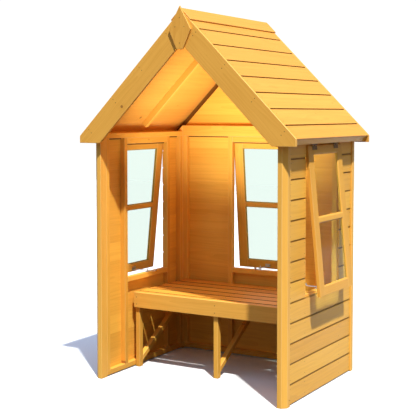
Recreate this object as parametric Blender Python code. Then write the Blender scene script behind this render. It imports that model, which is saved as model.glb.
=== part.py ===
"""Garden arbour: a boarded shelter with a bench, an open front and three top-hung windows.

Metres, +Z up. The origin lies on the ground under the middle of the whole object. The open front
faces -Y. Left and right are as seen from the front, so left is -X.
"""

import math

import bmesh
import bpy
from mathutils import Vector

# Clearance between pieces that touch
GAP = 0.0003

# Posts and plan
OPENING_WIDTH = 1.170
BODY_DEPTH = 0.980
POST_WIDTH = 0.052
POST_DEPTH = 0.058
POST_CHAMFER = 0.025

# Wall frames and boards
GROUND_CLEARANCE = 0.008
RAIL_WIDTH = 0.031
FRAME_DEPTH = 0.033
BOARD_THICKNESS = 0.011
BOARD_PITCH = 0.112
BOARD_COUNT = 13
COVE_HEIGHT = 0.010
COVE_DEPTH = 0.0070
COVE_STEPS = 4
FRAME_ABOVE_BOARDS = 0.010
BACK_FRAME_SETBACK = 0.006
BACK_FRAME_BELOW_ROOF = 0.0015

# Window openings
SILL_HEIGHT = 0.578
HEADER_DEPTH = 0.068
SIDE_WINDOW_FRONT = 0.278
SIDE_WINDOW_WIDTH = 0.4534
BACK_WINDOW_WIDTH = 0.410

# Sashes
SASH_OVERLAP = 0.008
SASH_THICKNESS = 0.020
SASH_CLOSED_GAP = 0.0005
STILE_WIDTH = 0.064
TOP_RAIL_WIDTH = 0.046
BOTTOM_RAIL_WIDTH = 0.052
GLAZING_BAR_WIDTH = 0.028
GLASS_THICKNESS = 0.004
GLASS_REBATE = 0.006
CUTOUT_CLEARANCE = 0.003
CUTOUT_HEAD_CLEARANCE = 0.010
REST_OPENING = math.radians(5.6)

# Hinges
HINGE_LENGTH = 0.060
HINGE_LEAF_HEIGHT = 0.024
HINGE_LEAF_THICKNESS = 0.0015
HINGE_RADIUS = 0.0035
HINGE_PIN_RADIUS = 0.0016
HINGE_RUNNING_FIT = 0.0001
HINGE_PIN_PROUD = 0.001
HINGE_LEAF_BELOW_SASH_TOP = 0.002
HINGE_WEB_INSET = 0.0005
HINGE_ABOVE_SASH = 0.0055
HINGE_FROM_SASH_END = 0.085

# Stays
STAY_LENGTH = 0.170
STAY_WIDTH = 0.016
STAY_THICKNESS = 0.003
STAY_SLOT_WIDTH = 0.007
STAY_SLOT_START = 0.0105
STAY_SLOT_END = 0.1525
STAY_TAIL_START = 0.1565
STAY_TAIL_RISE = 0.014
STAY_PIVOT_ABOVE_SILL = 0.0092
STAY_PIVOT_FROM_SASH = 0.0075
STAY_EYE_RADIUS = 0.0035
STAY_SIDE_PLAY = 0.001
STAY_TAIL_STEPS = 5
STAY_SLOT_END_STEPS = 6
BRACKET_HEIGHT = 0.020
BRACKET_WIDTH = 0.036
BRACKET_THICKNESS = 0.0018
EAR_RADIUS = 0.0048
PEG_RADIUS = 0.003
PEG_HEIGHT = 0.027
PEG_FROM_INNER_FACE = 0.009
PEG_PLATE_LENGTH = 0.040
PEG_PLATE_WIDTH = 0.014
PEG_PLATE_THICKNESS = 0.0015
RIVET_PROUD = 0.0005

# Roof
ROOF_PITCH = math.radians(45.0)
ROOF_BOARD_THICKNESS = 0.012
ROOF_FRAME_DEPTH = 0.038
ROOF_ABOVE_WALLS = 0.0073
EAVE_OVERHANG = 0.073
GABLE_OVERHANG = 0.019
EAVE_BOARD = 0.1047
ROOF_BOARD_PITCH = 0.125
FRONT_RAFTER_WIDTH = 0.045
MIDDLE_RAFTER_WIDTH = 0.028
MIDDLE_RAFTER_FRONT = 0.490
MIDDLE_RAFTER_PAST_WALL = 0.012
REAR_RAFTER_WIDTH = 0.014
BATTEN_WIDTH = 0.045
CAPPING_THICKNESS = 0.008
CAPPING_WIDTH = 0.085

# Gables
BARGEBOARD_WIDTH = 0.132
BARGEBOARD_THICKNESS = 0.018
BARGEBOARD_FOOT = 0.0425
GABLE_RAIL_WIDTH = 0.038
FINIAL_THICKNESS = 0.013
FINIAL_HALF_WIDTH = 0.072
FINIAL_TIP_HALF_WIDTH = 0.020
FINIAL_ABOVE_ROOF = 0.022
FINIAL_UPPER_HEIGHT = 0.132
FINIAL_LOWER_HEIGHT = 0.110

# Bench
SEAT_HEIGHT = 0.4745
SEAT_FRONT = 0.340
SEAT_BOARD_THICKNESS = 0.015
SEAT_BOARD_PITCH = 0.107
SEAT_BOARD_GAP = 0.011
SEAT_BACK_CLEARANCE = 0.0015
NARROWEST_SEAT_BOARD = 0.020
FASCIA_THICKNESS = 0.014
FASCIA_HEIGHT = 0.0965
LEG_DEPTH = 0.036
LEG_THICKNESS = 0.030
LEG_FROM_WALL = 0.005
BEARER_DEPTH = 0.031
BRACE_WIDTH = 0.030
BRACE_FOOT_HEIGHT = 0.052
BRACE_TOP_HEIGHT = 0.364
BACK_RAIL_DEPTH = 0.0317
BACK_RAIL_HEIGHT = 0.119

# Softened arrises
ARRIS = 0.0015
FINE_ARRIS = 0.001
SHARPEST_LEFT = math.radians(20.0)
SMOOTH_TURN = math.radians(40.0)

# Round pieces
ROUND_SIDES = 16

# Walls and posts, worked out
HALF_WIDTH = OPENING_WIDTH / 2
HALF_WALL = HALF_WIDTH - GAP
FRAME_OUTER = HALF_WIDTH + FRAME_DEPTH
BOARD_INNER = FRAME_OUTER + GAP
BOARD_OUTER = BOARD_INNER + BOARD_THICKNESS
POST_OUTER = HALF_WIDTH + POST_WIDTH
BOARD_TOP = GROUND_CLEARANCE + BOARD_COUNT * BOARD_PITCH
FRAME_TOP = BOARD_TOP + FRAME_ABOVE_BOARDS
HEADER_UNDERSIDE = FRAME_TOP - HEADER_DEPTH

# Sash and hinge axis, worked out in the window's own frame, which the window_frame function describes
SASH_BOTTOM = SILL_HEIGHT - SASH_OVERLAP
SASH_TOP = HEADER_UNDERSIDE + SASH_OVERLAP
SASH_OUTER = SASH_CLOSED_GAP + SASH_THICKNESS
CUTOUT_BOTTOM = SASH_BOTTOM - CUTOUT_CLEARANCE
CUTOUT_TOP = SASH_TOP + CUTOUT_HEAD_CLEARANCE
HINGE_OUT = SASH_OUTER + GAP + HINGE_RADIUS
HINGE_HEIGHT = SASH_TOP + HINGE_ABOVE_SASH
SASH_REACH = (HINGE_HEIGHT - SASH_BOTTOM) * math.sin(REST_OPENING)

# Lengths along Y, from the front of the posts to the front and back of the whole object
BARGEBOARD_REAR = GABLE_OVERHANG + GAP
BARGEBOARD_FRONT = BARGEBOARD_REAR + BARGEBOARD_THICKNESS
FINIAL_FRONT = BARGEBOARD_FRONT + GAP + FINIAL_THICKNESS
BACK_INNER_FROM_FRONT = BODY_DEPTH - POST_DEPTH + BACK_FRAME_SETBACK
SASH_REAR_FROM_FRONT = BACK_INNER_FROM_FRONT + FRAME_DEPTH + HINGE_OUT + SASH_REACH

# Positions along Y
FRONT = (FINIAL_FRONT - SASH_REAR_FROM_FRONT) / 2
REAR = FRONT + BODY_DEPTH
SIDE_WALL_FRONT = FRONT + POST_DEPTH + GAP
SIDE_WALL_REAR = REAR - POST_DEPTH - GAP
BACK_INNER = FRONT + BACK_INNER_FROM_FRONT
BACK_FRAME_OUTER = BACK_INNER + FRAME_DEPTH
BACK_BOARD_INNER = BACK_FRAME_OUTER + GAP
BACK_BOARD_OUTER = BACK_BOARD_INNER + BOARD_THICKNESS
ROOF_FRONT = FRONT - GABLE_OVERHANG
ROOF_REAR = REAR + GABLE_OVERHANG

# Roof planes: each height is at the middle of the arbour, and the plane falls away to both sides
PITCH_SINE = math.sin(ROOF_PITCH)
PITCH_COSINE = math.cos(ROOF_PITCH)
PITCH_TANGENT = math.tan(ROOF_PITCH)
ROOF_DEPTH = ROOF_BOARD_THICKNESS + GAP + ROOF_FRAME_DEPTH
UNDERSIDE_APEX = FRAME_TOP + ROOF_ABOVE_WALLS + FRAME_OUTER * PITCH_TANGENT
ROOF_APEX = UNDERSIDE_APEX + ROOF_DEPTH / PITCH_COSINE
SLOPE_LENGTH = (POST_OUTER + EAVE_OVERHANG) / PITCH_COSINE
FITTED_APEX = UNDERSIDE_APEX - GAP / PITCH_COSINE

# Finishes: colour, roughness, metallic value and alpha
PLANED_TIMBER = ((0.74, 0.47, 0.20), 0.62, 0.0, 1.0)
CLADDING_TIMBER = ((0.70, 0.42, 0.17), 0.64, 0.0, 1.0)
ROOF_TIMBER = ((0.80, 0.58, 0.30), 0.66, 0.0, 1.0)
SEAT_TIMBER = ((0.66, 0.38, 0.15), 0.60, 0.0, 1.0)
ZINC = ((0.70, 0.70, 0.70), 0.35, 1.0, 1.0)
GLASS = ((0.88, 0.96, 0.92), 0.05, 0.0, 0.35)

SIDES = {"left": -1, "right": 1}


def clear_scene():
    """Remove whatever the scene holds."""
    for old in list(bpy.data.objects):
        bpy.data.objects.remove(old, do_unlink=True)


def empty(name, parent=None, location=(0.0, 0.0, 0.0), rotation=(0.0, 0.0, 0.0)):
    """A frame to hang pieces on."""
    frame = bpy.data.objects.new(name, None)
    frame.location = location
    frame.rotation_euler = rotation
    frame.parent = parent
    bpy.context.scene.collection.objects.link(frame)
    return frame


def finish_material(name, finish):
    """A plain material from a finish."""
    colour, roughness, metallic, alpha = finish
    material = bpy.data.materials.new(name + "_finish")
    material.use_nodes = True
    shader = material.node_tree.nodes["Principled BSDF"]
    shader.inputs["Base Color"].default_value = (*colour, 1.0)
    shader.inputs["Roughness"].default_value = roughness
    shader.inputs["Metallic"].default_value = metallic
    shader.inputs["Alpha"].default_value = alpha
    return material


def add_piece(name, shape, finish, parent=None, round_piece=False):
    """Turn a finished shape into a named object with its own material."""
    mesh = bpy.data.meshes.new(name)
    shape.to_mesh(mesh)
    shape.free()
    mesh.materials.append(finish_material(name, finish))
    if round_piece:
        mesh.shade_smooth()
        mesh.set_sharp_from_angle(angle=SMOOTH_TURN)
    piece = bpy.data.objects.new(name, mesh)
    piece.parent = parent
    bpy.context.scene.collection.objects.link(piece)
    return piece


def combine(piece, operation, shape, label):
    """Join a shape to a piece, or cut or keep it, with a hidden helper object."""
    helper = add_piece(piece.name + "_" + label, shape, ZINC, piece.parent)
    helper.hide_render = True
    helper.display_type = "WIRE"
    change = piece.modifiers.new(label, "BOOLEAN")
    change.operation = operation
    change.solver = "EXACT"
    change.object = helper


def along_x(y, z, x):
    """Places an outline drawn in Y and Z, pushed along X."""
    return Vector((x, y, z))


def along_y(x, z, y):
    """Places an outline drawn in X and Z, pushed along Y."""
    return Vector((x, y, z))


def along_z(x, y, z):
    """Places an outline drawn in X and Y, pushed along Z."""
    return Vector((x, y, z))


def prism(outline, start, end, place):
    """A closed solid: a flat outline pushed from start to end."""
    shape = bmesh.new()
    near = [shape.verts.new(place(a, b, start)) for a, b in outline]
    far = [shape.verts.new(place(a, b, end)) for a, b in outline]
    shape.faces.new(near)
    shape.faces.new(far)
    for index in range(len(outline)):
        following = (index + 1) % len(outline)
        shape.faces.new((near[index], near[following], far[following], far[index]))
    bmesh.ops.recalc_face_normals(shape, faces=shape.faces)
    return shape


def block(low, high):
    """A rectangular solid from its lowest to its highest corner."""
    outline = [(low[0], low[1]), (high[0], low[1]), (high[0], high[1]), (low[0], high[1])]
    return prism(outline, low[2], high[2], along_z)


def lattice(columns, rows, is_timber, near, far, place):
    """A closed frame of bars: those cells of a grid that hold timber, between two depths."""
    shape = bmesh.new()
    points = {}

    def point(column, row, depth):
        key = (column, row, depth)
        if key not in points:
            points[key] = shape.verts.new(place(columns[column], rows[row], depth))
        return points[key]

    cells = {
        (i, j)
        for i in range(len(columns) - 1)
        for j in range(len(rows) - 1)
        if is_timber(i, j)
    }
    for i, j in sorted(cells):
        corners = [(i, j), (i + 1, j), (i + 1, j + 1), (i, j + 1)]
        neighbours = [(i, j - 1), (i + 1, j), (i, j + 1), (i - 1, j)]
        shape.faces.new([point(a, b, near) for a, b in corners])
        shape.faces.new([point(a, b, far) for a, b in corners])
        for index, neighbour in enumerate(neighbours):
            if neighbour in cells:
                continue
            start = corners[index]
            end = corners[(index + 1) % 4]
            shape.faces.new(
                (point(*start, near), point(*end, near), point(*end, far), point(*start, far))
            )
    bmesh.ops.recalc_face_normals(shape, faces=shape.faces)
    return shape


def soften(shape, width):
    """Take the sharpness off every outer arris."""
    arrises = [
        edge
        for edge in shape.edges
        if edge.is_convex and edge.calc_face_angle(0.0) > SHARPEST_LEFT
    ]
    bmesh.ops.bevel(
        shape,
        geom=arrises,
        offset=width,
        offset_type="OFFSET",
        segments=1,
        profile=0.5,
        affect="EDGES",
        clamp_overlap=True,
    )
    return shape


def circle(centre, radius, sides=ROUND_SIDES):
    """Points round a circle, first at its far right."""
    return [
        (
            centre[0] + radius * math.cos(math.tau * index / sides),
            centre[1] + radius * math.sin(math.tau * index / sides),
        )
        for index in range(sides)
    ]


def round_hole(centre, radius):
    """Points round a hole that a round piece of this radius passes in any position."""
    return circle(centre, radius / math.cos(math.pi / ROUND_SIDES))


def shiplap_profile(start, end, first_joint, pitch, thickness):
    """The section of a run of boards, as (along, depth) with depth 0 at the back.

    Each board's lower edge overlaps the coved upper edge of the one below it.
    """
    outline = [(start, 0.0), (start, thickness)]
    joint = first_joint
    while joint < end - COVE_HEIGHT:
        for step in range(COVE_STEPS + 1):
            turn = math.pi / 2 * step / COVE_STEPS
            along = joint - COVE_HEIGHT * math.cos(turn)
            outline.append((along, thickness - COVE_DEPTH * math.sin(turn)))
        outline.append((joint, thickness))
        joint += pitch
    outline.append((end, thickness))
    outline.append((end, 0.0))
    return outline


def roof_height(apex, x):
    """Height of a roof plane at a distance x from the middle."""
    return apex - abs(x) * PITCH_TANGENT


def slope_place(side):
    """Places a point given by its distance down the slope, its depth below the boards' top, and Y.

    A point above the ridge line is brought back to the plumb cut where the two slopes meet.
    """

    def place(down, depth, y):
        plumb = (GAP / 2 + depth * PITCH_SINE) / PITCH_COSINE
        down = max(down, plumb)
        x = down * PITCH_COSINE - depth * PITCH_SINE
        z = ROOF_APEX - down * PITCH_SINE - depth * PITCH_COSINE
        return Vector((side * x, y, z))

    return place


def build_posts():
    """Four corner posts, their tops cut to the underside of the roof."""
    for side_name, side in SIDES.items():
        for end_name, direction, face in (("front", 1, FRONT), ("rear", -1, REAR)):
            back = face + direction * POST_DEPTH
            chamfered = face + direction * POST_CHAMFER
            outline = [
                (side * HALF_WIDTH, face),
                (side * (POST_OUTER - POST_CHAMFER), face),
                (side * POST_OUTER, chamfered),
                (side * POST_OUTER, back),
                (side * HALF_WIDTH, back),
            ]
            shape = prism(outline, 0.0, ROOF_APEX, along_z)
            for vertex in shape.verts:
                vertex.co.z = min(vertex.co.z, roof_height(FITTED_APEX, vertex.co.x))
            add_piece(f"{end_name}_{side_name}_post", soften(shape, ARRIS), PLANED_TIMBER)


def wall_rows(top):
    """Heights of the horizontal members of a wall frame, from the bottom rail up to its top."""
    return [
        GROUND_CLEARANCE,
        GROUND_CLEARANCE + RAIL_WIDTH,
        SILL_HEIGHT - RAIL_WIDTH,
        SILL_HEIGHT,
        HEADER_UNDERSIDE,
        FRAME_TOP - RAIL_WIDTH,
        top,
    ]


def wall_is_timber(i, j):
    """Says which cells of a wall frame's grid hold timber."""
    uprights = (0, 2, 4, 6)
    full_rails = (0, 5)
    window_column = 3
    window_rails = (2, 4)
    return i in uprights or j in full_rails or (i == window_column and j in window_rails)


def wall_columns(low, high, window_low, window_high):
    """Positions of the uprights of a wall frame along the wall."""
    return [
        low,
        low + RAIL_WIDTH,
        window_low - RAIL_WIDTH,
        window_low,
        window_high,
        window_high + RAIL_WIDTH,
        high - RAIL_WIDTH,
        high,
    ]


def build_side_walls():
    """Frames and boards of the left and right walls."""
    window_low = FRONT + SIDE_WINDOW_FRONT
    window_high = window_low + SIDE_WINDOW_WIDTH
    columns = wall_columns(SIDE_WALL_FRONT, SIDE_WALL_REAR, window_low, window_high)
    profile = shiplap_profile(
        GROUND_CLEARANCE, BOARD_TOP, GROUND_CLEARANCE + BOARD_PITCH, BOARD_PITCH, BOARD_THICKNESS
    )
    for side_name, side in SIDES.items():
        frame = lattice(
            columns,
            wall_rows(FRAME_TOP),
            wall_is_timber,
            side * HALF_WIDTH,
            side * FRAME_OUTER,
            along_x,
        )
        add_piece(f"{side_name}_wall_frame", soften(frame, ARRIS), PLANED_TIMBER)
        outline = [(side * (BOARD_INNER + depth), z) for z, depth in profile]
        boards = prism(outline, SIDE_WALL_FRONT, SIDE_WALL_REAR, along_y)
        cladding = add_piece(f"{side_name}_cladding", boards, CLADDING_TIMBER)
        margin = SASH_OVERLAP + CUTOUT_CLEARANCE
        middle = side * BOARD_INNER
        cutter = block(
            (middle - FRAME_DEPTH, window_low - margin, CUTOUT_BOTTOM),
            (middle + FRAME_DEPTH, window_high + margin, CUTOUT_TOP),
        )
        combine(cladding, "DIFFERENCE", cutter, "window_cutout")


def build_back_wall():
    """Frame and boards of the back wall, whose boards run on up into the gable."""
    half_window = BACK_WINDOW_WIDTH / 2
    columns = wall_columns(-HALF_WALL, HALF_WALL, -half_window, half_window)
    shoulder = roof_height(FITTED_APEX, HALF_WALL)

    def place(x, z, y):
        return Vector((x, y, z))

    rows = wall_rows(shoulder - BACK_FRAME_BELOW_ROOF)
    frame = lattice(columns, rows, wall_is_timber, BACK_INNER, BACK_FRAME_OUTER, place)
    add_piece("back_wall_frame", soften(frame, ARRIS), PLANED_TIMBER)

    profile = shiplap_profile(
        GROUND_CLEARANCE, ROOF_APEX, GROUND_CLEARANCE + BOARD_PITCH, BOARD_PITCH, BOARD_THICKNESS
    )
    outline = [(BACK_BOARD_INNER + depth, z) for z, depth in profile]
    boards = prism(outline, -POST_OUTER, POST_OUTER, along_x)
    cladding = add_piece("back_cladding", boards, CLADDING_TIMBER)
    wall_outline = [
        (-HALF_WALL, 0.0),
        (HALF_WALL, 0.0),
        (HALF_WALL, shoulder),
        (0.0, FITTED_APEX),
        (-HALF_WALL, shoulder),
    ]
    kept = prism(wall_outline, BACK_INNER, REAR + POST_DEPTH, along_y)
    combine(cladding, "INTERSECT", kept, "wall_outline")
    margin = half_window + SASH_OVERLAP + CUTOUT_CLEARANCE
    cutter = block((-margin, BACK_INNER, CUTOUT_BOTTOM), (margin, REAR + POST_DEPTH, CUTOUT_TOP))
    combine(cladding, "DIFFERENCE", cutter, "window_cutout")


def build_gable_frame():
    """Two raking rails behind the gable's boards, which carry the rear rafters and bargeboards."""
    drop = GABLE_RAIL_WIDTH / PITCH_COSINE
    shoulder = roof_height(FITTED_APEX, HALF_WALL)
    outline = [
        (-HALF_WALL, shoulder - drop),
        (0.0, FITTED_APEX - drop),
        (HALF_WALL, shoulder - drop),
        (HALF_WALL, shoulder),
        (0.0, FITTED_APEX),
        (-HALF_WALL, shoulder),
    ]
    rails = prism(outline, BACK_BOARD_OUTER + GAP, ROOF_REAR, along_y)
    add_piece("gable_frame", soften(rails, ARRIS), PLANED_TIMBER)


def build_roof():
    """Two slopes: boards, the frame under them and the capping over the ridge."""
    profile = shiplap_profile(
        0.0, SLOPE_LENGTH, EAVE_BOARD, ROOF_BOARD_PITCH, ROOF_BOARD_THICKNESS
    )
    middle_front = FRONT + MIDDLE_RAFTER_FRONT
    rafter_edges = [
        ROOF_FRONT,
        ROOF_FRONT + FRONT_RAFTER_WIDTH,
        middle_front,
        middle_front + MIDDLE_RAFTER_WIDTH,
        ROOF_REAR - REAR_RAFTER_WIDTH,
        ROOF_REAR,
    ]
    ridge_batten_edge = ROOF_DEPTH * PITCH_TANGENT + BATTEN_WIDTH
    inner_face = HALF_WIDTH / PITCH_COSINE + ROOF_DEPTH * PITCH_TANGENT
    batten_edges = [
        0.0,
        ridge_batten_edge,
        inner_face + MIDDLE_RAFTER_PAST_WALL,
        SLOPE_LENGTH - BATTEN_WIDTH,
        SLOPE_LENGTH,
    ]

    def is_timber(i, j):
        end_rafters = (0, 4)
        middle_rafter = 2
        battens = (0, 3)
        past_middle_rafter = 2
        return i in end_rafters or j in battens or (i == middle_rafter and j < past_middle_rafter)

    for side_name, side in SIDES.items():
        place = slope_place(side)
        outline = [(SLOPE_LENGTH - up, ROOF_BOARD_THICKNESS - height) for up, height in profile]
        boards = prism(outline, ROOF_FRONT, ROOF_REAR, place)
        add_piece(f"{side_name}_roof_boards", boards, ROOF_TIMBER)

        def place_frame(y, down, depth, place=place):
            return place(down, depth, y)

        frame = lattice(
            rafter_edges,
            batten_edges,
            is_timber,
            ROOF_BOARD_THICKNESS + GAP,
            ROOF_DEPTH,
            place_frame,
        )
        add_piece(f"{side_name}_roof_frame", soften(frame, FINE_ARRIS), PLANED_TIMBER)

        capping_outline = [
            (-CAPPING_WIDTH, -GAP),
            (CAPPING_WIDTH, -GAP),
            (CAPPING_WIDTH, -GAP - CAPPING_THICKNESS),
            (-CAPPING_WIDTH, -GAP - CAPPING_THICKNESS),
        ]
        capping = prism(
            capping_outline,
            FRONT - BARGEBOARD_FRONT,
            REAR + BARGEBOARD_FRONT,
            place,
        )
        add_piece(f"{side_name}_ridge_capping", soften(capping, FINE_ARRIS), ROOF_TIMBER)


def build_gables():
    """Bargeboards at both ends of the roof, and the finial on the front pair."""
    tail = POST_OUTER + EAVE_OVERHANG
    tail_top = roof_height(ROOF_APEX, tail)
    tail_bottom = tail_top - BARGEBOARD_FOOT
    lower_apex = ROOF_APEX - BARGEBOARD_WIDTH / PITCH_COSINE
    foot_inner = (lower_apex - tail_bottom) / PITCH_TANGENT
    middle = GAP / 2
    for side_name, side in SIDES.items():
        outline = [
            (side * middle, roof_height(ROOF_APEX, middle)),
            (side * tail, tail_top),
            (side * tail, tail_bottom),
            (side * foot_inner, tail_bottom),
            (side * middle, roof_height(lower_apex, middle)),
        ]
        for end_name, direction, face in (("front", -1, FRONT), ("rear", 1, REAR)):
            near = face + direction * BARGEBOARD_REAR
            far = face + direction * BARGEBOARD_FRONT
            shape = prism(outline, near, far, along_y)
            add_piece(f"{end_name}_{side_name}_bargeboard", soften(shape, ARRIS), PLANED_TIMBER)

    top = ROOF_APEX + FINIAL_ABOVE_ROOF
    corner = top - FINIAL_UPPER_HEIGHT
    bottom = corner - FINIAL_LOWER_HEIGHT
    outline = [
        (0.0, top),
        (FINIAL_HALF_WIDTH, corner),
        (FINIAL_TIP_HALF_WIDTH, bottom),
        (-FINIAL_TIP_HALF_WIDTH, bottom),
        (-FINIAL_HALF_WIDTH, corner),
    ]
    finial = prism(outline, FRONT - FINIAL_FRONT, FRONT - BARGEBOARD_FRONT - GAP, along_y)
    add_piece("gable_finial", soften(finial, ARRIS), PLANED_TIMBER)


def window_frame(name):
    """The window's own frame: x out from the wall frame's outer face, y along the wall, z up.

    Its origin is on the ground under the middle of the opening. Returns it with the opening's width.
    """
    side_middle = FRONT + SIDE_WINDOW_FRONT + SIDE_WINDOW_WIDTH / 2
    places = {
        "left": ((-FRAME_OUTER, side_middle, 0.0), math.pi, SIDE_WINDOW_WIDTH),
        "right": ((FRAME_OUTER, side_middle, 0.0), 0.0, SIDE_WINDOW_WIDTH),
        "back": ((0.0, BACK_FRAME_OUTER, 0.0), math.pi / 2, BACK_WINDOW_WIDTH),
    }
    location, turn, width = places[name]
    return empty(f"{name}_window", None, location, (0.0, 0.0, turn)), width


def build_sash(name, pivot, half_width):
    """One sash with its glazing bar, grooved for the pane, drawn closed in the hinge's frame."""
    inner = SASH_CLOSED_GAP - HINGE_OUT
    outer = inner + SASH_THICKNESS
    bottom = SASH_BOTTOM - HINGE_HEIGHT
    top = SASH_TOP - HINGE_HEIGHT
    glass_low = bottom + BOTTOM_RAIL_WIDTH
    glass_high = top - TOP_RAIL_WIDTH
    bar_middle = (glass_low + glass_high) / 2
    columns = [-half_width, -half_width + STILE_WIDTH, half_width - STILE_WIDTH, half_width]
    rows = [
        bottom,
        glass_low,
        bar_middle - GLAZING_BAR_WIDTH / 2,
        bar_middle + GLAZING_BAR_WIDTH / 2,
        glass_high,
        top,
    ]

    def is_timber(i, j):
        return i in (0, 2) or j in (0, 2, 4)

    frame = lattice(columns, rows, is_timber, inner, outer, along_x)
    sash = add_piece(f"{name}_sash", soften(frame, ARRIS), PLANED_TIMBER, pivot)
    middle = (inner + outer) / 2
    half_glass = half_width - STILE_WIDTH + GLASS_REBATE
    low = Vector((middle - GLASS_THICKNESS / 2, -half_glass, glass_low - GLASS_REBATE))
    high = Vector((middle + GLASS_THICKNESS / 2, half_glass, glass_high + GLASS_REBATE))
    room = Vector((GAP, GAP, GAP))
    combine(sash, "DIFFERENCE", block(low - room, high + room), "pane_groove")
    add_piece(f"{name}_glass", block(low, high), GLASS, pivot)


def build_hinge(name, number, window, pivot, middle):
    """One hinge: a cranked leaf with the pin on the wall, and a leaf with one knuckle on the sash."""
    half = HINGE_LENGTH / 2
    knuckle = HINGE_LENGTH / 3
    axis = (HINGE_OUT, HINGE_HEIGHT)
    board_face = GAP + BOARD_THICKNESS + GAP
    leaf_low = CUTOUT_TOP + HINGE_LEAF_THICKNESS
    leaf_outline = [
        (board_face, leaf_low),
        (axis[0] + HINGE_RADIUS, leaf_low),
        (axis[0] + HINGE_RADIUS, leaf_low + HINGE_LEAF_THICKNESS),
        (board_face + HINGE_LEAF_THICKNESS, leaf_low + HINGE_LEAF_THICKNESS),
        (board_face + HINGE_LEAF_THICKNESS, leaf_low + HINGE_LEAF_HEIGHT),
        (board_face, leaf_low + HINGE_LEAF_HEIGHT),
    ]
    leaf = prism(leaf_outline, middle - half, middle + half, along_y)
    frame_leaf = add_piece(f"{name}_hinge_{number}_frame_leaf", leaf, ZINC, window, True)
    web_low = axis[1]
    web_high = leaf_low + HINGE_LEAF_THICKNESS / 2
    web_outer = axis[0] + HINGE_RADIUS - HINGE_WEB_INSET
    web_inner = web_outer - HINGE_LEAF_THICKNESS
    web_outline = [
        (web_inner, web_low),
        (web_outer, web_low),
        (web_outer, web_high),
        (web_inner, web_high),
    ]
    for label, start in (("low", middle - half), ("high", middle + half - knuckle + GAP)):
        end = start + knuckle - GAP
        barrel = prism(circle(axis, HINGE_RADIUS), start, end, along_y)
        combine(frame_leaf, "UNION", barrel, f"barrel_{label}")
        web = prism(web_outline, start + GAP, end - GAP, along_y)
        combine(frame_leaf, "UNION", web, f"web_{label}")
    pin_half = half + HINGE_PIN_PROUD
    pin = prism(circle(axis, HINGE_PIN_RADIUS), middle - pin_half, middle + pin_half, along_y)
    combine(frame_leaf, "UNION", pin, "pin")

    sash_face = SASH_OUTER - HINGE_OUT + GAP
    sash_top = SASH_TOP - HINGE_HEIGHT
    neck = knuckle / 2 - GAP
    shoulder = sash_top - HINGE_LEAF_BELOW_SASH_TOP
    plate_outline = [
        (middle - half, sash_top - HINGE_LEAF_HEIGHT),
        (middle + half, sash_top - HINGE_LEAF_HEIGHT),
        (middle + half, shoulder),
        (middle + neck, shoulder),
        (middle + neck, 0.0),
        (middle - neck, 0.0),
        (middle - neck, shoulder),
        (middle - half, shoulder),
    ]
    plate = prism(plate_outline, sash_face, sash_face + HINGE_LEAF_THICKNESS, along_x)
    sash_leaf = add_piece(f"{name}_hinge_{number}_sash_leaf", plate, ZINC, pivot, True)
    barrel_half = neck + GAP / 2
    barrel = prism(
        circle((0.0, 0.0), HINGE_RADIUS), middle - barrel_half, middle + barrel_half, along_y
    )
    combine(sash_leaf, "UNION", barrel, "barrel")
    bore_radius = HINGE_PIN_RADIUS + HINGE_RUNNING_FIT
    bore = prism(round_hole((0.0, 0.0), bore_radius), middle - knuckle, middle + knuckle, along_y)
    combine(sash_leaf, "DIFFERENCE", bore, "bore")


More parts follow.
